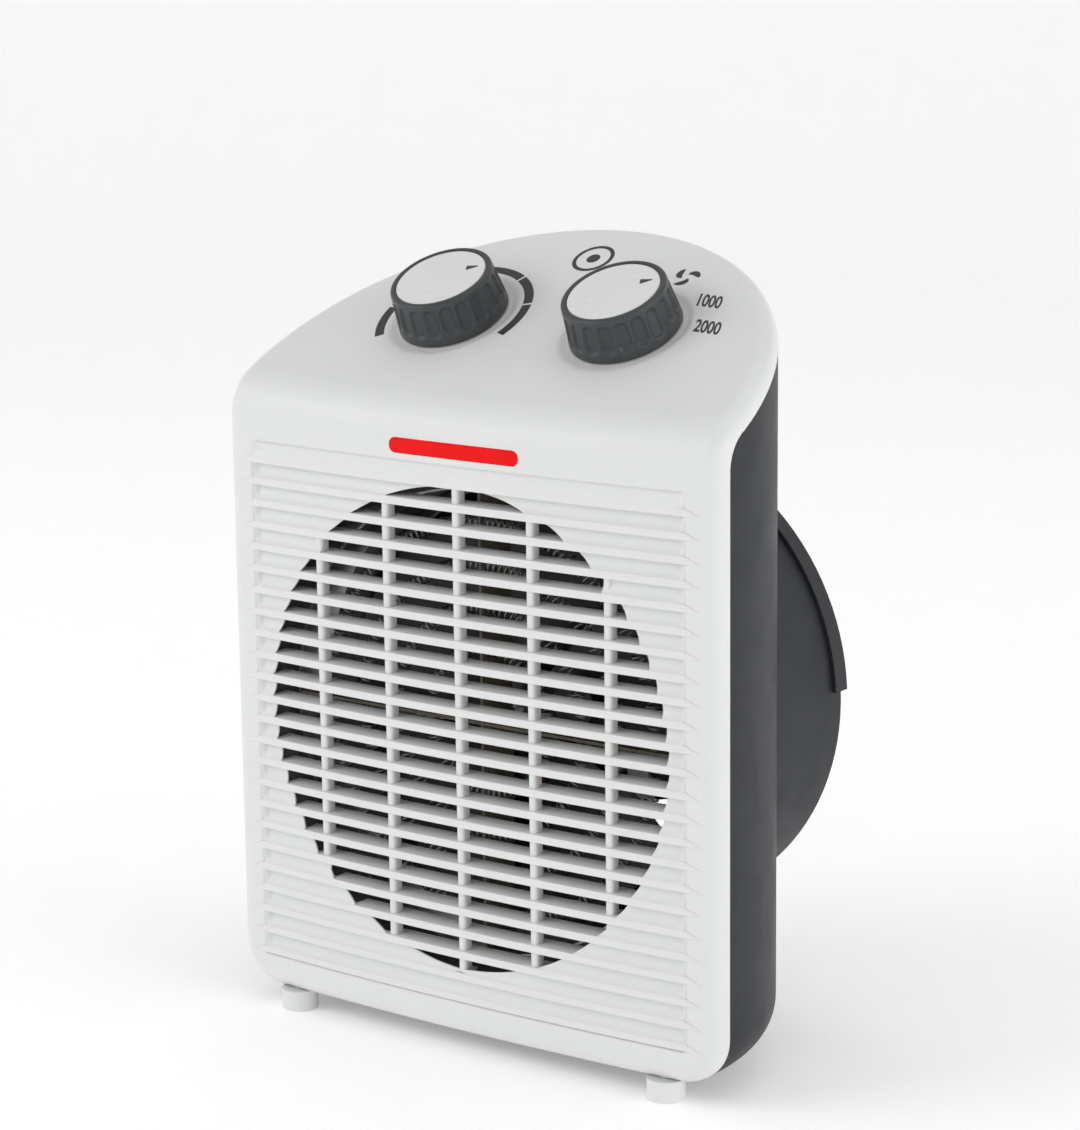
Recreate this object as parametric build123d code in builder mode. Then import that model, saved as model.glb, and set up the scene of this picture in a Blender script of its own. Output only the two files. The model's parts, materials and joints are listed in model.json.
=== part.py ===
"""Fan convector heater: a white front housing and a dark rear shell around a fan, a motor and a heater.

Millimetres. +Z is up, the outlet faces -Y and the origin is the middle of the footprint, on the floor.
Depths are counted backwards from the front of the louvres. Heights called level are counted from the
outlet's centre line, which the louvred opening, the air duct, the fan, the motor and the rear drum share.
"""

import os
from math import cos, radians, sin, sqrt, tan

from build123d import *

os.makedirs("parts", exist_ok=True)

# ---- driving dimensions ----
HALF_WIDTH = 98.5
DEPTH = 106.0
FOOT_HEIGHT = 7.0
SHELL_BOTTOM = -103.0
OUTLET_HEIGHT = FOOT_HEIGHT - SHELL_BOTTOM
WALL = 2.5

# casing shape
FACE_DEPTH = 0.5
BOW_RISE = 3.8
BOW_RADIUS = (HALF_WIDTH**2 + BOW_RISE**2) / (2 * BOW_RISE)
SIDE_DEPTH = 15.0
REAR_DEPTH = 101.0
CASING_TOP = 170.0
LOWER_RADIUS = 16.0
BEND_RADIUS = 18.0
EDGE_RADIUS = 5.5
PLATE_SLOPE = 28.0
PLATE_LEVEL = 102.75
SEAM_DEPTH = 10.5
SEAM_DROP = 7.4
SEAM_RADIUS = 13.0
SEAM_GAP = 0.4
OUTSIDE = 200.0

# outlet grille
FIELD_HALF_WIDTH = 88.0
FIELD_TOP = 87.0
FIELD_BOTTOM = -92.5
GROOVE_HALF_WIDTH = 86.0
OUTLET_RADIUS = 80.0
LOUVRES = 24
LOUVRE_PITCH = 7.43
TOP_LOUVRE = 82.3
LOUVRE_HEIGHT = 2.6
GRILLE_DEPTH = 8.5
GROOVE_DEPTH = 3.5
BARS = 5
BAR_PITCH = 29.04
BAR_WIDTH = 3.2
BAR_FRONT = 1.0

# indicator
LENS_LEVEL = 91.8
LENS_LENGTH = 52.0
LENS_HEIGHT = 5.0
LENS_FLANGE_DEPTH = 4.3

# rear drum and its intake grille
DRUM_RADIUS = 81.0
DRUM_BACK = 104.5
DRUM_LIP = 1.6
DRUM_LIP_FRONT = 99.0
INTAKE_RADIUS = 68.0

# air path
DUCT_RADIUS = 78.0
DUCT_WALL = 2.0
DUCT_FRONT = 12.0
DUCT_BACK = 50.0
HEATER_FRONT = 14.0
HEATER_BACK = 30.0
FAN_FRONT = 32.0
FAN_BACK = 47.0
FAN_RADIUS = 70.0
HUB_RADIUS = 15.0
BLADES = 5
SPIDER_BACK = 53.0
LUG_RADIUS = 85.0
LUG_ANGLES = (45, 135, 225, 315)

# motor
SHAFT_RADIUS = 2.0
RUNNING_GAP = 0.05
ROTOR_RADIUS = 14.6
STATOR_BORE = 15.2
STATOR_FRONT = 62.0
STATOR_BACK = 78.0
BEARING_RADIUS = 5.0

# controls on the plate
KNOB_SPACING = 34.7
KNOB_DEPTH = 47.3
KNOB_RADIUS = 19.0
KNOB_TOP_RADIUS = 17.5
KNOB_HEIGHT = 14.8
KNOB_FLUTES = 20
DISH_RADIUS = 21.5
DISH_DEPTH = 0.8
KNOB_GAP = 0.4
CAP_RADIUS = 15.5
POINTER_ANGLE = 52.0
SPINDLE_RADIUS = 3.0
BUSH_RADIUS = 4.8

# feet and fastenings
FOOT_RADIUS = 6.25
FRONT_FEET = [(-76.0, 8.0), (76.0, 8.0)]
REAR_FEET = [(-28.0, 72.0), (28.0, 72.0)]
CASE_SCREWS = [(-84.0, 96.0), (84.0, 96.0), (-74.0, -96.5), (74.0, -96.5)]
SCREW_RADIUS = 1.4
GLAND_PLACE = (-70.0, -62.0)
GLAND_RADIUS = 6.0


# ---- places ----
def facing(depth, level=0.0, x=0.0):
    """Upright plane at a depth, looking out of the front: its x is X and its y is Z."""
    origin = (x, depth - DEPTH / 2, OUTLET_HEIGHT + level)
    return Plane(origin, x_dir=(1, 0, 0), z_dir=(0, -1, 0))


def lying(level, depth=0.0, x=0.0):
    """Level plane: its x is X and its y is the depth."""
    return Plane((x, depth - DEPTH / 2, OUTLET_HEIGHT + level))


def upright(x=0.0):
    """Side plane: its x is the depth and its y is the level."""
    origin = (x, -DEPTH / 2, OUTLET_HEIGHT)
    return Plane(origin, x_dir=(0, 1, 0), z_dir=(1, 0, 0))


def plate_level(depth):
    return PLATE_LEVEL + depth * tan(radians(PLATE_SLOPE))


def on_plate(x, lift=0.0):
    """Plane on the control plate around a knob's axis, lifted along its normal; y is up the slope."""
    normal = Vector(0, -sin(radians(PLATE_SLOPE)), cos(radians(PLATE_SLOPE)))
    level = OUTLET_HEIGHT + plate_level(KNOB_DEPTH)
    origin = Vector(x, KNOB_DEPTH - DEPTH / 2, level) + normal * lift
    return Plane(origin, x_dir=(1, 0, 0), z_dir=normal)


def bow(x):
    """How far the bowed front has moved back at a distance from the middle."""
    return BOW_RADIUS - sqrt(BOW_RADIUS**2 - x**2)


# ---- simple solids, from a plane and a length along its normal ----
def cylinder(plane, radius, length, bore=0.0):
    with BuildPart() as solid:
        with BuildSketch(plane) as section:
            Circle(radius)
            if bore:
                Circle(bore, mode=Mode.SUBTRACT)
        extrude(section.sketch, amount=length)
    return solid.part


def block(plane, width, height, length):
    with BuildPart() as solid:
        with BuildSketch(plane) as section:
            Rectangle(width, height)
        extrude(section.sketch, amount=length)
    return solid.part


def bowed_slab(front, back, half_width, bottom, top):
    """A slab that follows the bow of the front, between two distances behind it."""
    with BuildPart() as solid:
        with BuildSketch(lying(bottom)) as plan:
            with BuildLine():
                for behind in (front, back):
                    edge = bow(half_width) + behind
                    ThreePointArc((-half_width, edge), (0, behind), (half_width, edge))
                for side in (-half_width, half_width):
                    edge = bow(half_width)
                    Line((side, edge + front), (side, edge + back))
            make_face()
        extrude(plan.sketch, amount=top - bottom)
    return solid.part


# ---- casing ----
def casing(inset):
    """The closed outer form, drawn in by an inset: D-shaped in plan with a sloping top plate."""
    half = HALF_WIDTH - inset
    front = FACE_DEPTH + inset
    corner = front + BOW_RISE
    plate = PLATE_LEVEL - inset / cos(radians(PLATE_SLOPE))
    slope = tan(radians(PLATE_SLOPE))
    with BuildPart() as body:
        with BuildSketch(lying(SHELL_BOTTOM + inset)):
            with BuildLine():
                ThreePointArc((-half, corner), (0, front), (half, corner))
                Line((half, corner), (half, SIDE_DEPTH))
                EllipticalCenterArc(
                    (0, SIDE_DEPTH), half, REAR_DEPTH - SIDE_DEPTH - inset, start_angle=0, arc_size=180
                )
                Line((-half, SIDE_DEPTH), (-half, corner))
            make_face()
        extrude(amount=CASING_TOP - SHELL_BOTTOM)
        # the lower edge is rounded round the sides and the back, and runs out in the front face
        lower = body.faces().sort_by(Axis.Z)[0].edges().sort_by(Axis.Y)[1:]
        fillet(lower, LOWER_RADIUS - inset)
        with BuildSketch(upright()):
            with BuildLine():
                Polyline(
                    (-DEPTH, plate - DEPTH * slope),
                    (2 * DEPTH, plate + 2 * DEPTH * slope),
                    (-DEPTH, plate + 2 * DEPTH * slope),
                    close=True,
                )
            make_face()
        extrude(amount=OUTSIDE, both=True, mode=Mode.SUBTRACT)
        front_of_plate = body.faces().sort_by(Axis.Z)[-1].edges().sort_by(Axis.Y)[0]
        fillet(front_of_plate, BEND_RADIUS - inset)
        # front face, bend and plate share one rounded outline
        skin = [f for f in body.faces() if f.normal_at().Y < -0.9 or f.normal_at().Z > 0.3]
        edges = [edge for face in skin for edge in face.edges()]
        outline = [edge for edge in edges if sum(edge.is_same(other) for other in edges) == 1]
        fillet(outline, EDGE_RADIUS - inset)
    return body.part


def ahead_of_seam(gap):
    """Everything in front of and above the seam between the two shells."""
    drop = SEAM_DROP + gap
    depth = SEAM_DEPTH + gap
    with BuildPart() as region:
        with BuildSketch(upright()) as side:
            with BuildLine():
                Polyline(
                    (-DEPTH, -OUTSIDE),
                    (depth, -OUTSIDE),
                    (depth, plate_level(depth) - drop),
                    (2 * DEPTH, plate_level(2 * DEPTH) - drop),
                    (-DEPTH, plate_level(2 * DEPTH) - drop),
                    close=True,
                )
            make_face()
            corner = side.vertices().sort_by_distance(
                (0, depth - DEPTH / 2, OUTLET_HEIGHT + plate_level(depth) - drop)
            )[0]
            fillet(corner, SEAM_RADIUS)
        extrude(side.sketch, amount=OUTSIDE, both=True)
    return region.part


CASING = casing(0)
CAVITY = casing(WALL)

with BuildPart() as front_housing:
    add(CASING)
    add(CAVITY, mode=Mode.SUBTRACT)
    add(ahead_of_seam(0), mode=Mode.INTERSECT)
    # screw bosses behind the front face
    for x, level in CASE_SCREWS:
        add(cylinder(facing(30, level, x), 3.5, 30 - FACE_DEPTH - WALL - 1))
    # the grille's opening, the lens slot and the drillings in the bosses
    with BuildSketch(facing(15, (FIELD_TOP + FIELD_BOTTOM) / 2)):
        Rectangle(2 * FIELD_HALF_WIDTH, FIELD_TOP - FIELD_BOTTOM)
    extrude(amount=20, mode=Mode.SUBTRACT)
    with BuildSketch(facing(10, LENS_LEVEL)):
        SlotOverall(LENS_LENGTH, LENS_HEIGHT)
    extrude(amount=15, mode=Mode.SUBTRACT)
    for x, level in CASE_SCREWS:
        add(cylinder(facing(31, level, x), SCREW_RADIUS, 20), mode=Mode.SUBTRACT)
    # dished seats and bush holes for the two controls
    for side in (-1, 1):
        seat = on_plate(side * KNOB_SPACING, -DISH_DEPTH)
        add(cylinder(seat, DISH_RADIUS, 5), mode=Mode.SUBTRACT)
        hole = on_plate(side * KNOB_SPACING, -2 * WALL)
        add(cylinder(hole, BUSH_RADIUS + 0.1, 10), mode=Mode.SUBTRACT)
    # sockets for the front feet
    for x, depth in FRONT_FEET:
        add(cylinder(lying(SHELL_BOTTOM - 1, depth, x), 1.8, 6), mode=Mode.SUBTRACT)
front_housing.part.label = "front_housing"
export_step(front_housing.part, "parts/front_housing.step")

with BuildPart() as outlet_grille:
    # solid field with a rim flush with the front face, sunk grooves and the round opening
    add(bowed_slab(FACE_DEPTH, GRILLE_DEPTH, FIELD_HALF_WIDTH, FIELD_BOTTOM, FIELD_TOP))
    rim = FIELD_HALF_WIDTH - GROOVE_HALF_WIDTH
    sunk = bowed_slab(-5, GROOVE_DEPTH, GROOVE_HALF_WIDTH, FIELD_BOTTOM + rim, FIELD_TOP - rim)
    add(sunk, mode=Mode.SUBTRACT)
    louvre_levels = [TOP_LOUVRE - number * LOUVRE_PITCH for number in range(LOUVRES)]
    bar_places = [(number - (BARS - 1) / 2) * BAR_PITCH for number in range(BARS)]
    with BuildSketch(facing(3 * GRILLE_DEPTH)) as windows:
        Circle(OUTLET_RADIUS)
        with Locations([(0, level) for level in louvre_levels]):
            Rectangle(3 * OUTLET_RADIUS, LOUVRE_HEIGHT, mode=Mode.SUBTRACT)
        with Locations([(x, 0) for x in bar_places]):
            Rectangle(BAR_WIDTH, 3 * OUTLET_RADIUS, mode=Mode.SUBTRACT)
    extrude(amount=4 * GRILLE_DEPTH, mode=Mode.SUBTRACT)
    # noses of the louvres, and the bars just behind them
    for level in louvre_levels:
        low = level - LOUVRE_HEIGHT / 2
        add(bowed_slab(0, GROOVE_DEPTH + 1, GROOVE_HALF_WIDTH + 0.5, low, low + LOUVRE_HEIGHT))
    for x in bar_places:
        reach = 2 * sqrt((OUTLET_RADIUS + 1) ** 2 - x**2)
        back = GROOVE_DEPTH + 1 + bow(x)
        add(block(facing(back, 0, x), BAR_WIDTH, reach, GROOVE_DEPTH + 1 - BAR_FRONT))
outlet_grille.part.label = "outlet_grille"
export_step(outlet_grille.part, "parts/outlet_grille.step")

with BuildPart() as rear_shell:
    add(CASING)
    add(cylinder(facing(DRUM_BACK), DRUM_RADIUS, DRUM_BACK - SIDE_DEPTH))
    # the drum's rear rim has a lip round its upper half, with rounded ends
    with BuildSketch(facing(DRUM_BACK + 1.5)):
        Circle(DRUM_RADIUS + DRUM_LIP)
        with Locations((0, -DRUM_RADIUS + 4)):
            Rectangle(3 * DRUM_RADIUS, 2 * DRUM_RADIUS, mode=Mode.SUBTRACT)
        Circle(DRUM_RADIUS - 2, mode=Mode.SUBTRACT)
    extrude(amount=DRUM_BACK + 1.5 - DRUM_LIP_FRONT)
    add(CAVITY, mode=Mode.SUBTRACT)
    drum_cavity = cylinder(facing(DRUM_BACK - WALL), DRUM_RADIUS - WALL, DRUM_BACK - WALL - SIDE_DEPTH)
    add(drum_cavity, mode=Mode.SUBTRACT)
    add(cylinder(facing(DEPTH + 5), INTAKE_RADIUS, 20), mode=Mode.SUBTRACT)
    # screw tubes from the back wall to the front housing's bosses
    for x, level in CASE_SCREWS:
        tube = cylinder(facing(75, level, x), 4.6, 75 - 30)
        add(tube.intersect(CASING))
        add(cylinder(facing(76, level, x), SCREW_RADIUS + 0.2, 50), mode=Mode.SUBTRACT)
        add(cylinder(facing(80, level, x), 3.4, 80 - 42), mode=Mode.SUBTRACT)
    add(ahead_of_seam(SEAM_GAP), mode=Mode.SUBTRACT)
    # gland hole and sockets for the rear feet
    add(cylinder(facing(90, GLAND_PLACE[1], GLAND_PLACE[0]), GLAND_RADIUS, 30), mode=Mode.SUBTRACT)
    for x, depth in REAR_FEET:
        add(cylinder(lying(SHELL_BOTTOM - 1, depth, x), 1.8, 6), mode=Mode.SUBTRACT)
rear_shell.part.label = "rear_shell"
export_step(rear_shell.part, "parts/rear_shell.step")

with BuildPart() as rear_intake_grille:
    with BuildSketch(facing(DRUM_BACK)):
        Circle(INTAKE_RADIUS)
        for inner in range(60, 17, -7):
            Circle(inner + 4.5, mode=Mode.SUBTRACT)
            Circle(inner)
        with PolarLocations(0, 6):
            Rectangle(2 * INTAKE_RADIUS - 2, 3)
    extrude(amount=WALL)
rear_intake_grille.part.label = "rear_intake_grille"
export_step(rear_intake_grille.part, "parts/rear_intake_grille.step")


def feet(places, name):
    with BuildPart() as pair:
        for x, depth in places:
            add(cylinder(lying(SHELL_BOTTOM - FOOT_HEIGHT, depth, x), FOOT_RADIUS, FOOT_HEIGHT))
            add(cylinder(lying(SHELL_BOTTOM, depth, x), 1.8, WALL + 1))
    pair.part.label = name
    export_step(pair.part, f"parts/{name}.step")


feet(FRONT_FEET, "front_feet")
feet(REAR_FEET, "rear_feet")

with BuildPart() as housing_screws:
    for x, level in CASE_SCREWS:
        add(cylinder(facing(44.2, level, x), 3.0, 2.2))
        add(cylinder(facing(42, level, x), SCREW_RADIUS, 25))
housing_screws.part.label = "housing_screws"
export_step(housing_screws.part, "parts/housing_screws.step")

with BuildPart() as cord_gland:
    gland = facing(78, GLAND_PLACE[1], GLAND_PLACE[0])
    add(cylinder(gland, GLAND_RADIUS, 18, bore=3.5))
cord_gland.part.label = "cord_gland"
export_step(cord_gland.part, "parts/cord_gland.step")

# ---- indicator ----
with BuildPart() as indicator_lens:
    with BuildSketch(facing(LENS_FLANGE_DEPTH, LENS_LEVEL)):
        SlotOverall(LENS_LENGTH, LENS_HEIGHT)
    extrude(amount=LENS_FLANGE_DEPTH - FACE_DEPTH - bow(LENS_LENGTH / 2))
    with BuildSketch(facing(LENS_FLANGE_DEPTH + 1.5, LENS_LEVEL)):
        SlotOverall(LENS_LENGTH + 5, LENS_HEIGHT + 3)
    extrude(amount=1.5)
indicator_lens.part.label = "indicator_lens"
export_step(indicator_lens.part, "parts/indicator_lens.step")

with BuildPart() as neon_lamp:
    add(cylinder(Plane((-8, 10 - DEPTH / 2, OUTLET_HEIGHT + LENS_LEVEL), z_dir=(1, 0, 0)), 3, 16))
    fillet(neon_lamp.edges().filter_by(GeomType.CIRCLE), 2)
neon_lamp.part.label = "neon_lamp"
export_step(neon_lamp.part, "parts/neon_lamp.step")

with BuildPart() as lamp_holder:
    add(block(facing(18, LENS_LEVEL), 22, 8, 8))
    add(cylinder(Plane((-12, 10 - DEPTH / 2, OUTLET_HEIGHT + LENS_LEVEL), z_dir=(1, 0, 0)), 3.1, 24),
        mode=Mode.SUBTRACT)
lamp_holder.part.label = "lamp_holder"
export_step(lamp_holder.part, "parts/lamp_holder.step")


# ---- air path ----
def lugs(back, thickness, bore):
    """Four lugs round the duct, where the motor's spider is screwed on."""
    with BuildPart() as ears:
        with BuildSketch(facing(back)) as plan:
            for angle in LUG_ANGLES:
                with PolarLocations(LUG_RADIUS, 1, start_angle=angle):
                    Circle(4)
                with PolarLocations(LUG_RADIUS - 3.5, 1, start_angle=angle):
                    Rectangle(7, 8)
            Circle(DUCT_RADIUS + 1, mode=Mode.SUBTRACT)
            if bore:
                for angle in LUG_ANGLES:
                    with PolarLocations(LUG_RADIUS, 1, start_angle=angle):
                        Circle(bore, mode=Mode.SUBTRACT)
        extrude(plan.sketch, amount=thickness)
    return ears.part


with BuildPart() as air_duct:
    outer = DUCT_RADIUS + DUCT_WALL
    add(cylinder(facing(DUCT_BACK), outer, DUCT_BACK - DUCT_FRONT, bore=DUCT_RADIUS))
    add(cylinder(facing(DUCT_FRONT + 2), outer + 5, 2, bore=DUCT_RADIUS))
    add(lugs(DUCT_BACK, 8, SCREW_RADIUS))
air_duct.part.label = "air_duct"
export_step(air_duct.part, "parts/air_duct.step")

with BuildPart() as motor_spider:
    thickness = SPIDER_BACK - DUCT_BACK
    with BuildSketch(facing(SPIDER_BACK)):
        Circle(DUCT_RADIUS + DUCT_WALL)
        Circle(DUCT_RADIUS - 3, mode=Mode.SUBTRACT)
        Circle(22)
        with PolarLocations(0, 4, start_angle=45):
            Rectangle(2 * DUCT_RADIUS, 9)
        Circle(BEARING_RADIUS + 3, mode=Mode.SUBTRACT)
        for side in (-1, 1):
            with Locations((side * 19, 0)):
                Circle(1.7, mode=Mode.SUBTRACT)
    extrude(amount=thickness)
    add(lugs(SPIDER_BACK, thickness, SCREW_RADIUS + 0.2))
motor_spider.part.label = "motor_spider"
export_step(motor_spider.part, "parts/motor_spider.step")

with BuildPart() as spider_screws:
    for angle in LUG_ANGLES:
        x = LUG_RADIUS * cos(radians(angle))
        level = LUG_RADIUS * sin(radians(angle))
        add(cylinder(facing(SPIDER_BACK + 2, level, x), 2.8, 2))
        add(cylinder(facing(SPIDER_BACK, level, x), SCREW_RADIUS, 10))
spider_screws.part.label = "spider_screws"
export_step(spider_screws.part, "parts/spider_screws.step")

# ---- heater ----
COIL_RADII = (24.0, 38.0, 52.0, 66.0)
COIL_DEPTH = HEATER_FRONT + 4.0
COIL_TUBE = 2.6

with BuildPart() as heater_band:
    add(cylinder(facing(HEATER_BACK), DUCT_RADIUS, HEATER_BACK - HEATER_FRONT, bore=DUCT_RADIUS - 0.8))
heater_band.part.label = "heater_band"
export_step(heater_band.part, "parts/heater_band.step")


def coil_rings(tube):
    with BuildPart() as rings:
        for radius in COIL_RADII:
            with BuildSketch(upright()) as section:
                with Locations((COIL_DEPTH, radius)):
                    Circle(tube)
            revolve(section.sketch, axis=Axis((0, 0, OUTLET_HEIGHT), (0, 1, 0)))
    return rings.part


with BuildPart() as heating_coils:
    add(coil_rings(COIL_TUBE))
heating_coils.part.label = "heating_coils"
export_step(heating_coils.part, "parts/heating_coils.step")


def mica_board(angle, slot_front, name):
    """One of two crossed boards. Each is slotted half way, so they interlock on the axis."""
    span = 2 * (DUCT_RADIUS - 1)
    with BuildPart() as board:
        with BuildSketch(facing(HEATER_BACK)):
            Rectangle(span, 1.0, rotation=angle)
        extrude(amount=HEATER_BACK - HEATER_FRONT)
        half = (HEATER_BACK - HEATER_FRONT) / 2
        back = HEATER_FRONT + half if slot_front else HEATER_BACK
        with BuildSketch(facing(back)):
            Rectangle(1.1, 1.1)
        extrude(amount=half, mode=Mode.SUBTRACT)
        add(coil_rings(COIL_TUBE + 0.1), mode=Mode.SUBTRACT)
    board.part.label = name
    export_step(board.part, f"parts/{name}.step")


mica_board(0, True, "mica_board_level")
mica_board(90, False, "mica_board_upright")

with BuildPart() as heater_terminals:
    # tabs on the lower part of the board's edge, behind the coils
    for x in (-58, -44, 58):
        with BuildSketch(lying(0.5, HEATER_BACK - 4, x)):
            Rectangle(6, 8)
        extrude(amount=0.8)
heater_terminals.part.label = "heater_terminals"
export_step(heater_terminals.part, "parts/heater_terminals.step")

with BuildPart() as thermal_cutout:
    add(cylinder(facing(HEATER_BACK - 1, 9, 30), 8, 6))
    with BuildSketch(facing(HEATER_BACK - 3, 0.75, 30)):
        Rectangle(18, 0.5)
    extrude(amount=3)
thermal_cutout.part.label = "thermal_cutout"
export_step(thermal_cutout.part, "parts/thermal_cutout.step")

with BuildPart() as thermal_fuse:
    fuse_axis = Plane((-36, HEATER_BACK - 4 - DEPTH / 2, OUTLET_HEIGHT - 2.6), z_dir=(1, 0, 0))
    add(cylinder(fuse_axis, 2.0, 11))
thermal_fuse.part.label = "thermal_fuse"
export_step(thermal_fuse.part, "parts/thermal_fuse.step")

# ---- fan and motor ----
with BuildPart() as fan_impeller:
    add(cylinder(facing(FAN_BACK), HUB_RADIUS, FAN_BACK - FAN_FRONT - 1, bore=SHAFT_RADIUS))
    for number in range(BLADES):
        turn = 360 / BLADES * number
        root_plane = Plane.XY.offset(HUB_RADIUS - 2)
        tip_plane = Plane.XY.offset(FAN_RADIUS - 2)
        with BuildSketch(root_plane, mode=Mode.PRIVATE) as root_section:
            Rectangle(15, 1.6, rotation=38)
        with BuildSketch(tip_plane, mode=Mode.PRIVATE) as tip_section:
            Rectangle(38, 1.6, rotation=20)
        blade = loft([root_section.sketch, tip_section.sketch], mode=Mode.PRIVATE)
        blade = Rot(0, turn, 0) * blade
        add(Pos(0, (FAN_FRONT + FAN_BACK) / 2 - DEPTH / 2, OUTLET_HEIGHT) * blade)
    add(cylinder(facing(FAN_BACK + 5), SHAFT_RADIUS, 40), mode=Mode.SUBTRACT)
fan_impeller.part.label = "fan_impeller"
export_step(fan_impeller.part, "parts/fan_impeller.step")

with BuildPart() as fan_clip:
    add(cylinder(facing(FAN_FRONT + 1), 5, 1, bore=SHAFT_RADIUS))
fan_clip.part.label = "fan_clip"
export_step(fan_clip.part, "parts/fan_clip.step")

with BuildPart() as motor_shaft:
    add(cylinder(facing(88), SHAFT_RADIUS, 88 - FAN_FRONT + 2))
motor_shaft.part.label = "motor_shaft"
export_step(motor_shaft.part, "parts/motor_shaft.step")

with BuildPart() as motor_rotor:
    add(cylinder(facing(STATOR_BACK), ROTOR_RADIUS, STATOR_BACK - STATOR_FRONT, bore=SHAFT_RADIUS))
motor_rotor.part.label = "motor_rotor"
export_step(motor_rotor.part, "parts/motor_rotor.step")

with BuildPart() as motor_stator:
    with BuildSketch(facing(STATOR_BACK)):
        with Locations((0, -7)):
            Rectangle(48, 62)
        Circle(STATOR_BORE, mode=Mode.SUBTRACT)
        with Locations((0, -25)):
            Rectangle(28, 10, mode=Mode.SUBTRACT)
        for side in (-1, 1):
            with Locations((side * 19, 0)):
                Circle(1.7, mode=Mode.SUBTRACT)
    extrude(amount=STATOR_BACK - STATOR_FRONT)
motor_stator.part.label = "motor_stator"
export_step(motor_stator.part, "parts/motor_stator.step")

with BuildPart() as motor_coil:
    with BuildSketch(facing(STATOR_BACK + 5)):
        with Locations((0, -34)):
            Rectangle(26, 26)
        with Locations((0, -42)):
            Rectangle(26, 12)
    extrude(amount=STATOR_BACK - STATOR_FRONT + 10)
    with BuildSketch(facing(STATOR_BACK)):
        with Locations((0, -34)):
            Rectangle(48, 8)
        with Locations((0, -20)):
            Rectangle(48, 10)
    extrude(amount=STATOR_BACK - STATOR_FRONT, mode=Mode.SUBTRACT)
    fillet(motor_coil.edges().filter_by(Axis.X).group_by(Axis.Y)[0], 2)
motor_coil.part.label = "motor_coil"
export_step(motor_coil.part, "parts/motor_coil.step")


def motor_bearing(front, name):
    """Bearing with a strip bracket that is held on the stator by the two long screws."""
    with BuildPart() as bearing:
        with BuildSketch(facing(front + 1.5)):
            Rectangle(48, 14)
            for side in (-1, 1):
                with Locations((side * 19, 0)):
                    Circle(1.7, mode=Mode.SUBTRACT)
        extrude(amount=1.5)
        add(cylinder(facing(front + 4), BEARING_RADIUS, 6.5))
        bore = cylinder(facing(front + 10), SHAFT_RADIUS + RUNNING_GAP, 20)
        add(bore, mode=Mode.SUBTRACT)
    bearing.part.label = name
    export_step(bearing.part, f"parts/{name}.step")


motor_bearing(STATOR_FRONT - 7, "front_motor_bearing")
motor_bearing(STATOR_BACK + 3.5, "rear_motor_bearing")

with BuildPart() as motor_spacers:
    for side in (-1, 1):
        x = side * 19
        add(cylinder(facing(STATOR_FRONT, 0, x), 3, 5.5, bore=1.7))
        add(cylinder(facing(STATOR_BACK + 3.5, 0, x), 3, 3.5, bore=1.7))
        add(cylinder(facing(STATOR_FRONT - 7, 0, x), 3, 2, bore=1.7))
motor_spacers.part.label = "motor_spacers"
export_step(motor_spacers.part, "parts/motor_spacers.step")

with BuildPart() as motor_screws:
    for side in (-1, 1):
        x = side * 19
        add(cylinder(facing(STATOR_BACK + 7.5, 0, x), 3, 2.5))
        add(cylinder(facing(STATOR_BACK + 5, 0, x), 1.6, STATOR_BACK + 5 - DUCT_BACK + 1))
motor_screws.part.label = "motor_screws"
export_step(motor_screws.part, "parts/motor_screws.step")


# ---- controls ----
def knob(side, name):
    """Tapered grip with sunk panels, hollow below, with a hub for the spindle and a seat for the cap."""
    x = side * KNOB_SPACING
    base = KNOB_GAP - DISH_DEPTH
    height = KNOB_HEIGHT - base
    with BuildPart() as grip:
        with BuildSketch(on_plate(x, base)) as foot:
            Circle(KNOB_RADIUS)
        with BuildSketch(on_plate(x, KNOB_HEIGHT)) as crown:
            Circle(KNOB_TOP_RADIUS)
        loft([foot.sketch, crown.sketch])
        with BuildSketch(on_plate(x, base + 3)) as panels:
            with PolarLocations(KNOB_RADIUS + 1.1, KNOB_FLUTES):
                Circle(2.6)
        extrude(panels.sketch, amount=height - 6, mode=Mode.SUBTRACT)
        add(cylinder(on_plate(x, base - 1), KNOB_RADIUS - 3.5, 9), mode=Mode.SUBTRACT)
        add(cylinder(on_plate(x, base + 5.5), 5.5, 4))
        add(cylinder(on_plate(x, 0), SPINDLE_RADIUS, 12), mode=Mode.SUBTRACT)
        add(cylinder(on_plate(x, KNOB_HEIGHT - 1), CAP_RADIUS, 2), mode=Mode.SUBTRACT)
    grip.part.label = name
    export_step(grip.part, f"parts/{name}.step")


def knob_cap(side, name):
    """White disc in the knob's top, with a wedge-shaped window that shows the pointer."""
    x = side * KNOB_SPACING
    with BuildPart() as cap:
        add(cylinder(on_plate(x, KNOB_HEIGHT - 1), CAP_RADIUS, 1.2))
        with BuildSketch(on_plate(x, KNOB_HEIGHT - 2)) as window:
            with PolarLocations(8, 1, start_angle=90 - POINTER_ANGLE):
                Polygon((0, -1.6), (5.5, -0.3), (5.5, 0.3), (0, 1.6), align=None)
        extrude(window.sketch, amount=5, mode=Mode.SUBTRACT)
    cap.part.label = name
    export_step(cap.part, f"parts/{name}.step")


def spindle(side, name):
    x = side * KNOB_SPACING
    with BuildPart() as rod:
        add(cylinder(on_plate(x, -14), SPINDLE_RADIUS, 26))
    rod.part.label = name
    export_step(rod.part, f"parts/{name}.step")


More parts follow.
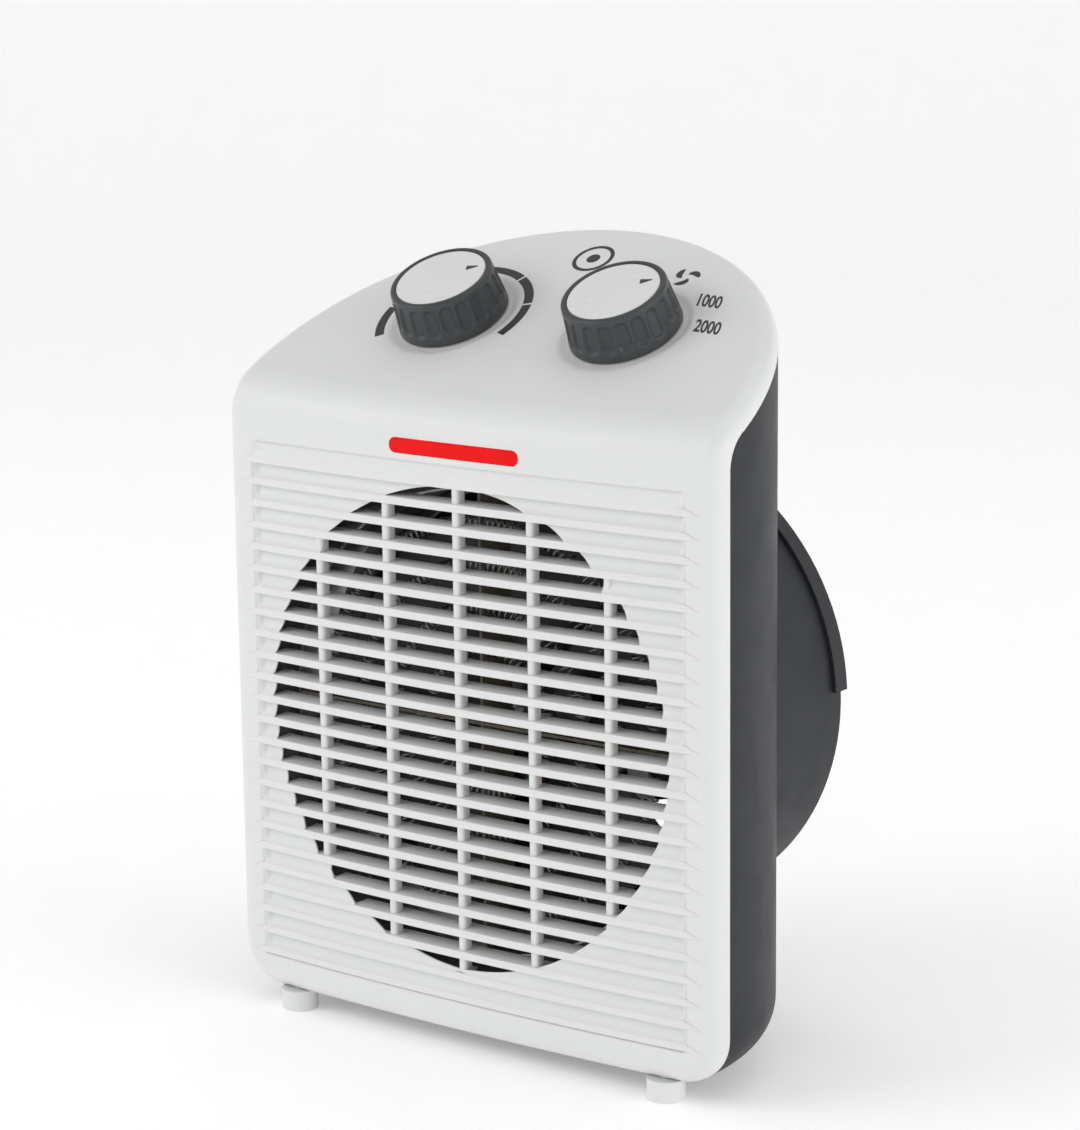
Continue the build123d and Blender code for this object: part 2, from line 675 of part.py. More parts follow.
def control(side, width, length, height, name):
    """Switch or thermostat case under the plate, with its threaded bush and terminal tabs."""
    x = side * KNOB_SPACING
    with BuildPart() as case:
        add(block(on_plate(x, -WALL - 1 - height), width, length, height))
        add(cylinder(on_plate(x, -WALL - 1), BUSH_RADIUS, WALL + 5))
        add(block(on_plate(x, -WALL - 1), 14, 14, 1))
        add(cylinder(on_plate(x, -14), SPINDLE_RADIUS + RUNNING_GAP, 30), mode=Mode.SUBTRACT)
        for step in (-1, 0, 1):
            with BuildSketch(on_plate(x + step * 8, -WALL - 1 - height - 7)) as tab:
                Rectangle(0.8, 6)
            extrude(tab.sketch, amount=7)
    case.part.label = name
    export_step(case.part, f"parts/{name}.step")


knob(-1, "thermostat_knob")
knob_cap(-1, "thermostat_knob_cap")
spindle(-1, "thermostat_spindle")
control(-1, 28, 32, 16, "thermostat")
knob(1, "selector_knob")
knob_cap(1, "selector_knob_cap")
spindle(1, "selector_spindle")
control(1, 24, 26, 18, "selector_switch")

with BuildPart() as control_nuts:
    for side in (-1, 1):
        seat = on_plate(side * KNOB_SPACING, -DISH_DEPTH)
        with BuildSketch(seat) as nut:
            RegularPolygon(7, 6)
            Circle(BUSH_RADIUS, mode=Mode.SUBTRACT)
        extrude(nut.sketch, amount=2.2)
control_nuts.part.label = "control_nuts"
export_step(control_nuts.part, "parts/control_nuts.step")

with BuildPart() as terminal_block:
    add(block(facing(50, -66, -79), 14, 26, 14))
    with BuildSketch(facing(51, -66, -79)):
        with GridLocations(0.1, 8, 1, 3):
            Circle(1.8)
    extrude(amount=16, mode=Mode.SUBTRACT)
terminal_block.part.label = "terminal_block"
export_step(terminal_block.part, "parts/terminal_block.step")
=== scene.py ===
# %% [markdown]
# # A fan convector heater
# A small fan heater is a moulded plastic case round a drum of air: a fan at the back pushes air through
# glowing wires and out of a louvred front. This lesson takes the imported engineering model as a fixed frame
# and gives it the surfaces and finishes that the real heater has. The engineering parts that have the right
# shape stay and get a finish. The others are replaced by a surface worked out from a formula.

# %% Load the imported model
import json
import math

import bmesh
import bpy
import numpy as np
from mathutils import Matrix, Vector


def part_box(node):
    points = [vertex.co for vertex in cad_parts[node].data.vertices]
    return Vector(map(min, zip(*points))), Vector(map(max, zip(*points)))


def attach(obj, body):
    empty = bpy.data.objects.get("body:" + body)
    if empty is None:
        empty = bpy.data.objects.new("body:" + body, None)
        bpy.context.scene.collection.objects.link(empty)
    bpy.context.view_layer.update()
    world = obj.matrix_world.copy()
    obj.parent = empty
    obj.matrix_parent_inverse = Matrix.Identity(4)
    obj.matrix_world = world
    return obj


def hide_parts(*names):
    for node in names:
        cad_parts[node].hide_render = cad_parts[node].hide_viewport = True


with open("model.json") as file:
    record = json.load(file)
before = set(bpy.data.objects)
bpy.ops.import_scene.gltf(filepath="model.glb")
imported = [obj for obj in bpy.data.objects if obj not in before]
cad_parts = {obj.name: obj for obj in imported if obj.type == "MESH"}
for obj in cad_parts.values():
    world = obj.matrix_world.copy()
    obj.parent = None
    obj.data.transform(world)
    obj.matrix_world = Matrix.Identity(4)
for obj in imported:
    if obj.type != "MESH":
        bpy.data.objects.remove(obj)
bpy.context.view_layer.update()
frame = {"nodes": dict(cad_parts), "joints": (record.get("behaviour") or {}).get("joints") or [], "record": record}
nodes = frame["nodes"]

# %% [markdown]
# ## Where things are
# Every place is read from the model. The louvred field's box gives the line of the louvres' noses, the
# shaft's box gives the height of the round outlet, and the two knob joints give the slope of the top plate.

# %% Read the main places from the model
MM = 0.001
NOSE_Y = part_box("outlet_grille")[0].y
SHAFT_LOW, SHAFT_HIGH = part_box("motor_shaft")
AXIS_Z = (SHAFT_LOW.z + SHAFT_HIGH.z) / 2
KNOB_JOINTS = {j["child"]: j for j in frame["joints"] if "knob" in j["name"]}
PLATE_UP = Vector(KNOB_JOINTS["selector_control"]["axis"]).normalized()
PLATE_ACROSS = Vector((1, 0, 0))
PLATE_BACK = PLATE_UP.cross(PLATE_ACROSS)
SLOPE = -PLATE_UP.y / PLATE_UP.z
print("outlet height", round(AXIS_Z, 4), "plate slope", round(math.degrees(math.atan(SLOPE)), 1))


def place(x, depth, level):
    """Millimetres across, behind the louvres' noses and above the outlet's centre, as metres."""
    return np.stack(np.broadcast_arrays(x * MM, NOSE_Y + depth * MM, AXIS_Z + level * MM), axis=-1)


# %% [markdown]
# ## Surfaces from formulas
# A grid of points and the squares between them is the simplest mesh there is. Almost every piece below is
# such a grid: a formula gives a point for each row and column, and the same few lines turn it into a mesh.

# %% Turn a grid of points into a mesh
def grid_faces(rows, columns, close_rows=False, close_columns=False):
    """Squares between neighbours of a grid whose point (i, j) has number i * columns + j."""
    i = np.arange(rows if close_rows else rows - 1)[:, None]
    j = np.arange(columns if close_columns else columns - 1)[None, :]
    here, right = i * columns + j, i * columns + (j + 1) % columns
    below, across = (i + 1) % rows * columns + j, (i + 1) % rows * columns + (j + 1) % columns
    return np.stack(np.broadcast_arrays(here, right, across, below), axis=-1).reshape(-1, 4)


def join(parts):
    """Several (points, faces) pairs as one pair."""
    points, faces, start = [], [], 0
    for part_points, part_faces in parts:
        part_points = part_points.reshape(-1, 3)
        points.append(part_points)
        faces.append(part_faces + start)
        start += len(part_points)
    return np.concatenate(points), np.concatenate(faces)


def make_mesh(name, points, faces, tidy=True):
    """A mesh object from points and four-cornered faces, with doubles merged and faces turned outwards."""
    mesh = bpy.data.meshes.new(name)
    points = np.ascontiguousarray(points.reshape(-1, 3), dtype=np.float32)
    mesh.vertices.add(len(points))
    mesh.vertices.foreach_set("co", points.ravel())
    mesh.loops.add(faces.size)
    mesh.loops.foreach_set("vertex_index", faces.ravel().astype(np.int32))
    mesh.polygons.add(len(faces))
    mesh.polygons.foreach_set("loop_start", np.arange(0, faces.size, faces.shape[1], dtype=np.int32))
    mesh.update(calc_edges=True)
    mesh.validate()
    if tidy:
        shape = bmesh.new()
        shape.from_mesh(mesh)
        bmesh.ops.remove_doubles(shape, verts=shape.verts, dist=1e-6)
        bmesh.ops.dissolve_degenerate(shape, edges=shape.edges, dist=1e-7)
        bmesh.ops.recalc_face_normals(shape, faces=shape.faces)
        shape.to_mesh(mesh)
        shape.free()
    mesh.polygons.foreach_set("use_smooth", np.ones(len(mesh.polygons), dtype=bool))
    piece = bpy.data.objects.new(name, mesh)
    bpy.context.scene.collection.objects.link(piece)
    return piece


def solid_between(front, back):
    """A closed solid from two equal grids, a front one and a back one, with a strip round their edges."""
    rows, columns = front.shape[:2]
    faces = grid_faces(rows, columns)
    far = faces[:, ::-1] + rows * columns
    index = np.arange(rows * columns).reshape(rows, columns)
    rim = np.concatenate([index[0, :-1], index[:-1, -1], index[-1, :0:-1], index[:0:-1, 0]])
    following = np.roll(rim, -1)
    strip = np.stack([following, rim, rim + rows * columns, following + rows * columns], axis=-1)
    return np.concatenate([front.reshape(-1, 3), back.reshape(-1, 3)]), np.concatenate([faces, far, strip])


def eased(step):
    """A share between 0 and 1 with a soft start and a soft end."""
    return step**2 * (3 - 2 * step)


def finish_piece(piece, body, slot, material, *replaced, crisp=40):
    """Every piece gets its finish and the body it moves with; the slot argument is not used. Edges that turn by
    more than the crisp angle, in degrees, stay sharp, and the others are shaded smooth."""
    if crisp:
        piece.data.set_sharp_from_angle(angle=math.radians(crisp))
    piece.data.materials.clear()
    piece.data.materials.append(material)
    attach(piece, body)
    if replaced:
        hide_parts(*replaced)
    print(piece.name, len(piece.data.polygons), "faces")
    return piece


# %% [markdown]
# ## Moulded plastic
# Moulded plastic is a plain colour with a clear surface over it. What makes it look real is small: a fine
# spark-eroded grain, a slow waviness where the plastic shrank as it cooled, and a shine that changes a
# little from place to place because hands have touched it. Each of these is one noise texture on object
# coordinates, so the grain keeps its real size on every part.

# %% Node helpers and the plastics
WAVE_SCALE, WAVE_HEIGHT = 28.0, 0.12
TOUCH_SCALE = 60.0
PLASTIC_IOR = 1.53


def new_material(name):
    """A new material with its node tree, its shader and the object coordinates that its textures read."""
    material = bpy.data.materials.new(name)
    material.use_nodes = True
    tree = material.node_tree
    shader = tree.nodes["Principled BSDF"]
    places = tree.nodes.new("ShaderNodeTexCoord").outputs["Object"]
    return material, tree, shader, places


def noise(tree, places, scale, detail=3.0, roughness=0.55):
    """A noise value about 0.5 whose spots are about 1 / scale metres apart."""
    node = tree.nodes.new("ShaderNodeTexNoise")
    node.inputs["Scale"].default_value = scale
    node.inputs["Detail"].default_value = detail
    node.inputs["Roughness"].default_value = roughness
    tree.links.new(places, node.inputs["Vector"])
    return node.outputs["Fac"]


def spread(tree, value, low, high, start=0.3, end=0.7):
    """Maps a noise value between start and end to a range."""
    node = tree.nodes.new("ShaderNodeMapRange")
    node.inputs["From Min"].default_value = start
    node.inputs["From Max"].default_value = end
    node.inputs["To Min"].default_value = low
    node.inputs["To Max"].default_value = high
    tree.links.new(value, node.inputs["Value"])
    return node.outputs["Result"]


def bumps(tree, shader, *layers):
    """Stacks bump layers given as (value, height in millimetres)."""
    normal = None
    for value, height in layers:
        node = tree.nodes.new("ShaderNodeBump")
        node.inputs["Strength"].default_value = 1.0
        node.inputs["Distance"].default_value = height * MM
        tree.links.new(value, node.inputs["Height"])
        if normal is not None:
            tree.links.new(normal, node.inputs["Normal"])
        normal = node.outputs["Normal"]
    tree.links.new(normal, shader.inputs["Normal"])


def two_tone(tree, shader, value, first, second):
    """Base colour that drifts between two close colours."""
    mix = tree.nodes.new("ShaderNodeMix")
    mix.data_type = "RGBA"
    mix.inputs["A"].default_value = (*first, 1)
    mix.inputs["B"].default_value = (*second, 1)
    tree.links.new(value, mix.inputs["Factor"])
    tree.links.new(mix.outputs["Result"], shader.inputs["Base Color"])


def moulded(name, colour, shine, grain_mm, grain_height, drift=0.04, coat=0.0, glint=0.35):
    """Moulded plastic: colour, mean roughness, and the size and height of its grain."""
    material, tree, shader, places = new_material(name)
    grain = noise(tree, places, 1 / (grain_mm * MM), 2.0, 0.6)
    wave = noise(tree, places, WAVE_SCALE, 2.0)
    touch = noise(tree, places, TOUCH_SCALE, 4.0, 0.65)
    darker = tuple(channel * (1 - drift) for channel in colour)
    two_tone(tree, shader, spread(tree, wave, 0, 1), colour, darker)
    tree.links.new(spread(tree, touch, shine - 0.05, shine + 0.06), shader.inputs["Roughness"])
    bumps(tree, shader, (wave, WAVE_HEIGHT), (grain, grain_height))
    shader.inputs["IOR"].default_value = PLASTIC_IOR
    shader.inputs["Specular IOR Level"].default_value = glint
    shader.inputs["Coat Weight"].default_value = coat
    shader.inputs["Coat Roughness"].default_value = 0.2
    return material


WHITE = (0.745, 0.76, 0.745)
white_plastic = moulded("white moulded plastic", WHITE, 0.38, 0.35, 0.004, 0.015)
white_disc = moulded("white cap plastic", (0.75, 0.765, 0.75), 0.30, 0.5, 0.003, 0.01)
dark_plastic = moulded("dark textured plastic", (0.026, 0.028, 0.032), 0.5, 0.5, 0.02, 0.10, glint=0.22)
knob_plastic = moulded("dark knob plastic", (0.050, 0.054, 0.058), 0.36, 0.4, 0.006, 0.08)
duct_plastic = moulded("dark duct plastic", (0.055, 0.060, 0.064), 0.45, 0.6, 0.02, 0.10)
fan_plastic = moulded("fan plastic", (0.040, 0.043, 0.046), 0.38, 0.6, 0.01, 0.10)
cream_nylon = moulded("cream nylon", (0.62, 0.58, 0.48), 0.45, 0.6, 0.01, 0.06)
black_phenolic = moulded("black phenolic", (0.018, 0.018, 0.020), 0.35, 0.5, 0.006, 0.1)
ceramic_white = moulded("glazed ceramic", (0.70, 0.68, 0.62), 0.25, 0.8, 0.004, 0.04)
print("plastics ready")

# %% [markdown]
# ## Metals, mica and the lamp
# Sheet steel shows the lines of its rolling mill, so its noise is stretched along one axis. Laminations are
# thin sheets stacked along the shaft, which a fine wave shows. Mica board is pressed flakes: a cell
# texture breaks its colour into small plates. That colour is tan darkened almost to brown-black, which is
# painted shade standing in for the dark inside of the heater.

# %% Metals, mica and the lamp
def metal(name, colour, shine, stretch=(1, 1, 12), scale=900.0):
    """Metal with mill lines: noise squeezed along one axis gives streaks in roughness and height."""
    material, tree, shader, places = new_material(name)
    mapping = tree.nodes.new("ShaderNodeMapping")
    mapping.inputs["Scale"].default_value = stretch
    tree.links.new(places, mapping.inputs["Vector"])
    streaks = noise(tree, mapping.outputs["Vector"], scale / 4, 3.0)
    patches = noise(tree, places, 90.0, 3.0)
    darker = tuple(channel * 0.82 for channel in colour)
    two_tone(tree, shader, spread(tree, patches, 0, 1), colour, darker)
    tree.links.new(spread(tree, streaks, shine - 0.08, shine + 0.12), shader.inputs["Roughness"])
    bumps(tree, shader, (streaks, 0.01))
    shader.inputs["Metallic"].default_value = 1.0
    return material


def mica_board():
    """Pressed flakes: a cell texture for the flakes and a fine noise for the tooth of the surface."""
    material, tree, shader, places = new_material("pressed mica")
    flakes = tree.nodes.new("ShaderNodeTexVoronoi")
    flakes.inputs["Scale"].default_value = 700.0
    tree.links.new(places, flakes.inputs["Vector"])
    fine = noise(tree, places, 1500.0, 3.0)
    # Painted shade: both flake colours are tan darkened almost to brown-black, to stand in for the shadow deep
    # inside the heater.
    two_tone(tree, shader, flakes.outputs["Distance"], (0.20, 0.17, 0.13), (0.12, 0.10, 0.07))
    tree.links.new(spread(tree, fine, 0.45, 0.7), shader.inputs["Roughness"])
    bumps(tree, shader, (flakes.outputs["Distance"], 0.03), (fine, 0.02))
    return material


def lens_plastic():
    """Clear red polycarbonate over a lamp: strong colour, a clean surface and a little light of its own."""
    material, tree, shader, places = new_material("red lens plastic")
    wave = noise(tree, places, 140.0, 2.0)
    two_tone(tree, shader, spread(tree, wave, 0, 1), (0.80, 0.004, 0.005), (0.74, 0.003, 0.004))
    tree.links.new(spread(tree, wave, 0.16, 0.26), shader.inputs["Roughness"])
    bumps(tree, shader, (wave, 0.02))
    shader.inputs["Specular IOR Level"].default_value = 0.12
    shader.inputs["Emission Color"].default_value = (0.9, 0.01, 0.01, 1)
    shader.inputs["Emission Strength"].default_value = 0.08
    return material


def lamp_glass():
    """The neon lamp's glass, slightly orange with the gas and electrodes inside."""
    material, tree, shader, places = new_material("neon lamp glass")
    haze = noise(tree, places, 300.0, 2.0)
    two_tone(tree, shader, spread(tree, haze, 0, 1), (0.95, 0.62, 0.42), (0.9, 0.5, 0.3))
    tree.links.new(spread(tree, haze, 0.05, 0.15), shader.inputs["Roughness"])
    bumps(tree, shader, (haze, 0.01))
    shader.inputs["Transmission Weight"].default_value = 0.6
    return material


zinc_steel = metal("zinc-plated steel", (0.66, 0.66, 0.64), 0.32)
band_steel = metal("band steel", (0.60, 0.59, 0.56), 0.34, (12, 1, 12))
shaft_steel = metal("ground shaft steel", (0.72, 0.72, 0.72), 0.20, (8, 1, 8))
lamination = metal("stacked laminations", (0.34, 0.34, 0.36), 0.42, (1, 40, 1), 300.0)
plain_brass = metal("plain brass", (0.72, 0.54, 0.24), 0.30)
coil_metal = metal("resistance wire", (0.42, 0.41, 0.40), 0.35, (1, 1, 1), 2000.0)
winding_tape = moulded("taped winding", (0.36, 0.13, 0.04), 0.45, 1.0, 0.05, 0.25)
mica = mica_board()
red_lens = lens_plastic()
neon_glass = lamp_glass()
print("metals, mica and lamp ready")

# %% [markdown]
# ## Finishes on the engineering parts
# Parts that already have their true shape only need a finish. Each record slot names one finish, so one
# table dresses the whole model. The engineering mesh itself stays as it is: its facets are finer than a
# tenth of a millimetre, and small bumps in the finish cover them.

# %% Put a finish on every engineering part
FINISHES = {
    "white_shell": white_plastic,
    "white_grille": white_plastic,
    "white_cap": white_disc,
    "dark_shell": dark_plastic,
    "dark_knob": knob_plastic,
    "dark_fan": fan_plastic,
    "duct_grey": duct_plastic,
    "red_lens": red_lens,
    "lamp_glass": neon_glass,
    "pale_plastic": cream_nylon,
    "black_plastic": black_phenolic,
    "zinc_steel": zinc_steel,
    "lamination_steel": lamination,
    "shaft_steel": shaft_steel,
    "band_steel": band_steel,
    "brass_parts": plain_brass,
    "coil_wire": coil_metal,
    "mica": mica,
    "winding": winding_tape,
    "fuse_body": ceramic_white,
}
slot_of = {part["node"]: part["material_slot"] for part in frame["record"]["subparts"]}
for name, part in nodes.items():
    for slot in part.material_slots:
        slot.material = FINISHES[slot_of[name]]
print("finished", len(nodes), "engineering parts")

# %% [markdown]
# ## The front's shape
# The front housing is one moulding. Its face is bowed a few millimetres, rolls back over a bend and becomes
# the sloping control plate, whose back edge is half an ellipse. Its skin is a function of two numbers: how
# far up the profile a point is, and how far across. The edge all round is a rolling ball between the skin
# and the upright wall, so it needs only the two surfaces' directions.

# %% Sizes of the casing, in millimetres
HALF_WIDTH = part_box("front_housing")[1].x / MM
FACE = (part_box("front_housing")[0].y - NOSE_Y) / MM
FLOOR_LEVEL = (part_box("front_housing")[0].z - AXIS_Z) / MM
KNOB_SPACING = KNOB_JOINTS["selector_control"]["pos_m"][0] / MM
KNOB_DEPTH = (KNOB_JOINTS["selector_control"]["pos_m"][1] - NOSE_Y) / MM
KNOB_LEVEL = (KNOB_JOINTS["selector_control"]["pos_m"][2] - AXIS_Z) / MM
PLATE_START = KNOB_LEVEL - SLOPE * KNOB_DEPTH
BOW_RISE = 3.8
BOW_RADIUS = (HALF_WIDTH**2 + BOW_RISE**2) / (2 * BOW_RISE)
SIDE_DEPTH = 15.0
REAR_DEPTH = 101.0
EDGE_RADIUS = 5.5
HOUSING_WALL = 2.4
BEND_RADIUS = 18.0
LOWER_RADIUS = 16.0
SEAM_DEPTH = 10.5
SEAM_DROP = 7.4
SEAM_RADIUS = 13.0
DISH_RADIUS = 21.5
DISH_DEPTH = 0.8
FIELD_TOP, FIELD_FOOT = 86.9, -91.4
FIELD_HALF = 86.2
print("half width", round(HALF_WIDTH, 2), "face", round(FACE, 2), "floor", round(FLOOR_LEVEL, 2))


def bow(x):
    """How far the bowed face has moved back: the rise of a circle's arc at x."""
    return BOW_RADIUS - np.sqrt(BOW_RADIUS**2 - x**2)


# %% [markdown]
# The profile up the middle has three stretches: the upright face, an arc that turns it by 62 degrees, and
# the plate. Away from the middle the whole bend slides back along the plate by the bow.

# %% The face and the bend as functions of height and width
PLATE_ANGLE = math.atan(SLOPE)
BEND_TURN = math.pi / 2 - PLATE_ANGLE
BEND_TANGENT = BEND_RADIUS * math.tan(BEND_TURN / 2)
BEND_FOOT = PLATE_START + SLOPE * FACE - BEND_TANGENT
BEND_END = FACE + BEND_TANGENT * math.cos(PLATE_ANGLE)


def on_face(x, level):
    """Depth and level of the face. Above the field it starts to slide up with the bend."""
    above = np.clip((level - FIELD_TOP) / (BEND_FOOT - FIELD_TOP), 0, 1)
    return FACE + bow(x), level + above * SLOPE * bow(x)


def on_bend(x, turn):
    """Depth and level of the bend where the profile has turned by an angle."""
    depth = FACE + BEND_RADIUS * (1 - np.cos(turn)) + bow(x)
    return depth, BEND_FOOT + BEND_RADIUS * np.sin(turn) + SLOPE * bow(x)


print("bend from level", round(BEND_FOOT, 1), "to depth", round(BEND_END, 1))

# %% [markdown]
# Walking once round the edge of the skin gives, for every step, the sharp corner where skin and wall would
# meet, and the direction each faces. A ball of the edge's radius pushed into that corner touches both, and
# the arc between its two touching points is the rounded edge. Past it the wall runs straight to the seam.

# %% Walk round the edge of the skin
CORNER_STEPS = 12
SIDE_STEPS = 26
BEND_STEPS = 14
REAR_STEPS = 84


def skin_normal(x, turn):
    """Outward direction of the skin: the cross product of its slopes across and along the profile. The bow
    tips the face sideways and has no effect on the plate, which it slides along."""
    lean = x / np.sqrt(BOW_RADIUS**2 - x**2)
    way = np.stack([lean * (np.cos(turn) - SLOPE * np.sin(turn)), -np.cos(turn), np.sin(turn)], axis=-1)
    return way / np.linalg.norm(way, axis=-1, keepdims=True)


def rounded(corner, skin_way, wall_way):
    """Centre of a ball of the edge's radius that touches both surfaces beside their corner."""
    meeting = np.sum(skin_way * wall_way, axis=-1, keepdims=True)
    return corner - EDGE_RADIUS * (skin_way + wall_way) / (1 + meeting)


def edge_walk():
    """Right-hand half of the outline, from the foot of the corner to the middle of the rear edge: corner
    points, the skin's and the wall's directions, and the stretch of the profile that each one belongs to:
    0 the face, 1 the bend, 2 the plate."""
    centre = FLOOR_LEVEL + LOWER_RADIUS
    field_foot = math.asin((centre - FIELD_FOOT) / (LOWER_RADIUS - EDGE_RADIUS))
    low = np.concatenate([np.linspace(math.pi / 2, field_foot, CORNER_STEPS),
                          np.linspace(field_foot, 0, 5)[1:]])
    arc_x = HALF_WIDTH - LOWER_RADIUS * (1 - np.cos(low))
    arc_level = centre - LOWER_RADIUS * np.sin(low)
    side_level = np.concatenate([np.linspace(centre, FIELD_TOP, SIDE_STEPS)[1:],
                                 np.linspace(FIELD_TOP, BEND_FOOT, 6)[1:]])
    bend = np.linspace(0, BEND_TURN, BEND_STEPS)[1:]
    side_depth = np.linspace(BEND_END + bow(HALF_WIDTH), SIDE_DEPTH, 4)[1:]
    rear = np.linspace(0, math.pi / 2, REAR_STEPS)[1:]
    side = np.zeros(len(side_level) + len(bend) + len(side_depth))
    x = np.concatenate([arc_x, side + HALF_WIDTH, HALF_WIDTH * np.cos(rear)])
    face = on_face(x[: len(low) + len(side_level)], np.concatenate([arc_level, side_level]))
    turned = on_bend(HALF_WIDTH, bend)
    depth_plate = np.concatenate([side_depth, SIDE_DEPTH + (REAR_DEPTH - SIDE_DEPTH) * np.sin(rear)])
    depth = np.concatenate([face[0], turned[0], depth_plate])
    level = np.concatenate([face[1], turned[1], PLATE_START + SLOPE * depth_plate])
    turn = np.concatenate([0 * face[0], bend, BEND_TURN + 0 * depth_plate])
    across = np.concatenate([np.cos(low), side + 1, np.cos(rear) / HALF_WIDTH])
    back = np.concatenate([0 * low, side, np.sin(rear) / (REAR_DEPTH - SIDE_DEPTH)])
    up = np.concatenate([-np.sin(low), side, 0 * rear])
    wall = np.stack([across, back, up], axis=-1)
    wall /= np.linalg.norm(wall, axis=-1, keepdims=True)
    stretch = np.concatenate([np.zeros(len(face[0])), np.ones(len(bend)), 2 + 0 * depth_plate]).astype(int)
    return np.stack([x, depth, level], axis=-1), skin_normal(x, turn), wall, stretch


corner, skin_way, wall_way, stretch = edge_walk()
ball = rounded(corner, skin_way, wall_way)
touch = ball + EDGE_RADIUS * skin_way
print("steps up the outline:", len(corner), "top of the skin", round(touch[:, 2].max(), 1))


# %% The rolled edge and the band down to the seam
BAND_STEPS = 14
PATH_STEPS = 96
LONGEST_BAND = 22.0


def seam_side(points, stretch):
    """Positive ahead of the seam, zero on it. The seam is upright beside the face, an arc beside the bend,
    and runs parallel to the plate below its edge."""
    depth, level = points[..., 1], points[..., 2]
    upright = SEAM_DEPTH - depth
    sloping = level - (PLATE_START + SLOPE * depth - SEAM_DROP)
    foot = SEAM_RADIUS * math.tan(BEND_TURN / 2)
    back = depth - SEAM_DEPTH - SEAM_RADIUS
    up = level - (PLATE_START + SLOPE * SEAM_DEPTH - SEAM_DROP - foot)
    along_slope = up / math.cos(PLATE_ANGLE)
    along_face = -back - along_slope * math.sin(PLATE_ANGLE)
    arc = np.hypot(back, up) - SEAM_RADIUS
    in_corner = (along_slope > 0) & (along_face > 0)
    straight = np.where(along_slope <= 0, upright, sloping)
    side = np.where(in_corner, arc, straight)
    return np.where((stretch == 0)[:, None], upright, side)


def edge_band(ball, skin_way, wall_way, run_way, stretch):
    """Each step's path: an arc from the skin's direction to the wall's, then straight along the wall. The
    path is cut where it meets the seam and is divided evenly."""
    share = np.linspace(0, 1, PATH_STEPS // 2)[None, :, None]
    meeting = np.clip(np.sum(skin_way * wall_way, axis=-1), -1, 1)
    angle = np.arccos(meeting)[:, None, None]
    blend = (np.sin((1 - share) * angle) * skin_way[:, None] + np.sin(share * angle) * wall_way[:, None])
    arc = ball[:, None] + EDGE_RADIUS * blend / np.sin(angle)
    run = np.linspace(0, LONGEST_BAND, PATH_STEPS // 2)[None, 1:, None]
    straight = ball[:, None] + EDGE_RADIUS * wall_way[:, None] + run * run_way[:, None]
    path = np.concatenate([arc, straight], axis=1)
    side = seam_side(path, stretch)
    first = np.argmax(side < 0, axis=1)
    rows = np.arange(len(path))
    over = side[rows, first - 1] / (side[rows, first - 1] - side[rows, first])
    steps = np.linalg.norm(np.diff(path, axis=1), axis=-1)
    travelled = np.concatenate([np.zeros((len(path), 1)), np.cumsum(steps, axis=1)], axis=1)
    end = travelled[rows, first - 1] + over * (travelled[rows, first] - travelled[rows, first - 1])
    wanted = end[:, None] * np.linspace(0, 1, BAND_STEPS)[None, :]
    after = np.clip((travelled[:, None, :] < wanted[:, :, None]).sum(axis=-1), 1, path.shape[1] - 1)
    row = rows[:, None]
    ahead, behind = travelled[row, after], travelled[row, after - 1]
    part = ((wanted - behind) / np.maximum(ahead - behind, 1e-9))[..., None]
    return path[row, after - 1] * (1 - part) + path[row, after] * part


run_way = np.zeros_like(wall_way)
run_way[:, 1] = stretch != 2
run_way[:, 2] = -1.0 * (stretch != 0)
run_way[stretch == 1] /= math.sqrt(2)
side_band = edge_band(ball, skin_way, wall_way, run_way, stretch)
print("band, rows and columns:", side_band.shape[:2])

# %% [markdown]
# The skin is filled row by row between its left and right edges. Columns inside the louvred field stand
# upright, so that the field's opening is a clean rectangle. The two shallow dishes under the knobs are the
# plate's own surface, pressed in by a depth that depends only on the distance from each knob's axis.

# %% Fill the skin between its edges
FIELD_COLUMNS = 150
EDGE_COLUMNS = 5
FIELD_SHARE = 0.937
DISH_EDGE = 1.3


def dish(x, depth, level):
    """How far the plate is pressed in: full depth inside the dish, none outside, an eased step between."""
    pressed = 0.0
    for side in (-1, 1):
        across = x - side * KNOB_SPACING
        along = (depth - KNOB_DEPTH) * PLATE_BACK.y + (level - KNOB_LEVEL) * PLATE_BACK.z
        distance = np.hypot(across, along)
        step = np.clip((DISH_RADIUS + DISH_EDGE / 2 - distance) / DISH_EDGE, 0, 1)
        pressed = pressed + DISH_DEPTH * eased(step)
    return pressed


def skin_rows():
    """x of every column in every row: even inside the field's width, then even out to the edge."""
    reach = touch[:, 0]
    inner = np.minimum(FIELD_HALF, reach * FIELD_SHARE)
    middle = inner[:, None] * np.linspace(-1, 1, FIELD_COLUMNS)[None, :]
    share = np.linspace(0, 1, EDGE_COLUMNS)[1:][None, :]
    right = inner[:, None] + (reach - inner)[:, None] * share
    return np.concatenate([-right[:, ::-1], middle, right], axis=1)


columns_x = skin_rows()
row_stretch = stretch[:, None] + 0 * columns_x
edge_depth, edge_level = touch[:, 1:2], touch[:, 2:3]
slid = bow(columns_x) - bow(touch[:, 0:1])
face_depth = edge_depth + slid
bend_level = edge_level + SLOPE * slid
plate_fade = np.clip((REAR_DEPTH - edge_depth) / (REAR_DEPTH - SIDE_DEPTH), 0, 1)
plate_depth = edge_depth + slid * plate_fade
skin_depth = np.where(row_stretch == 2, plate_depth, face_depth)
edge_top = BEND_FOOT + SLOPE * BOW_RISE
above_field = np.clip((edge_level - FIELD_TOP) / (edge_top - FIELD_TOP), 0, 1)
skin_level = np.where(
    row_stretch == 2,
    PLATE_START + SLOPE * plate_depth,
    np.where(row_stretch == 1, bend_level, edge_level + SLOPE * slid * above_field),
)
pressed = np.where(row_stretch == 2, dish(columns_x, skin_depth, skin_level), 0)
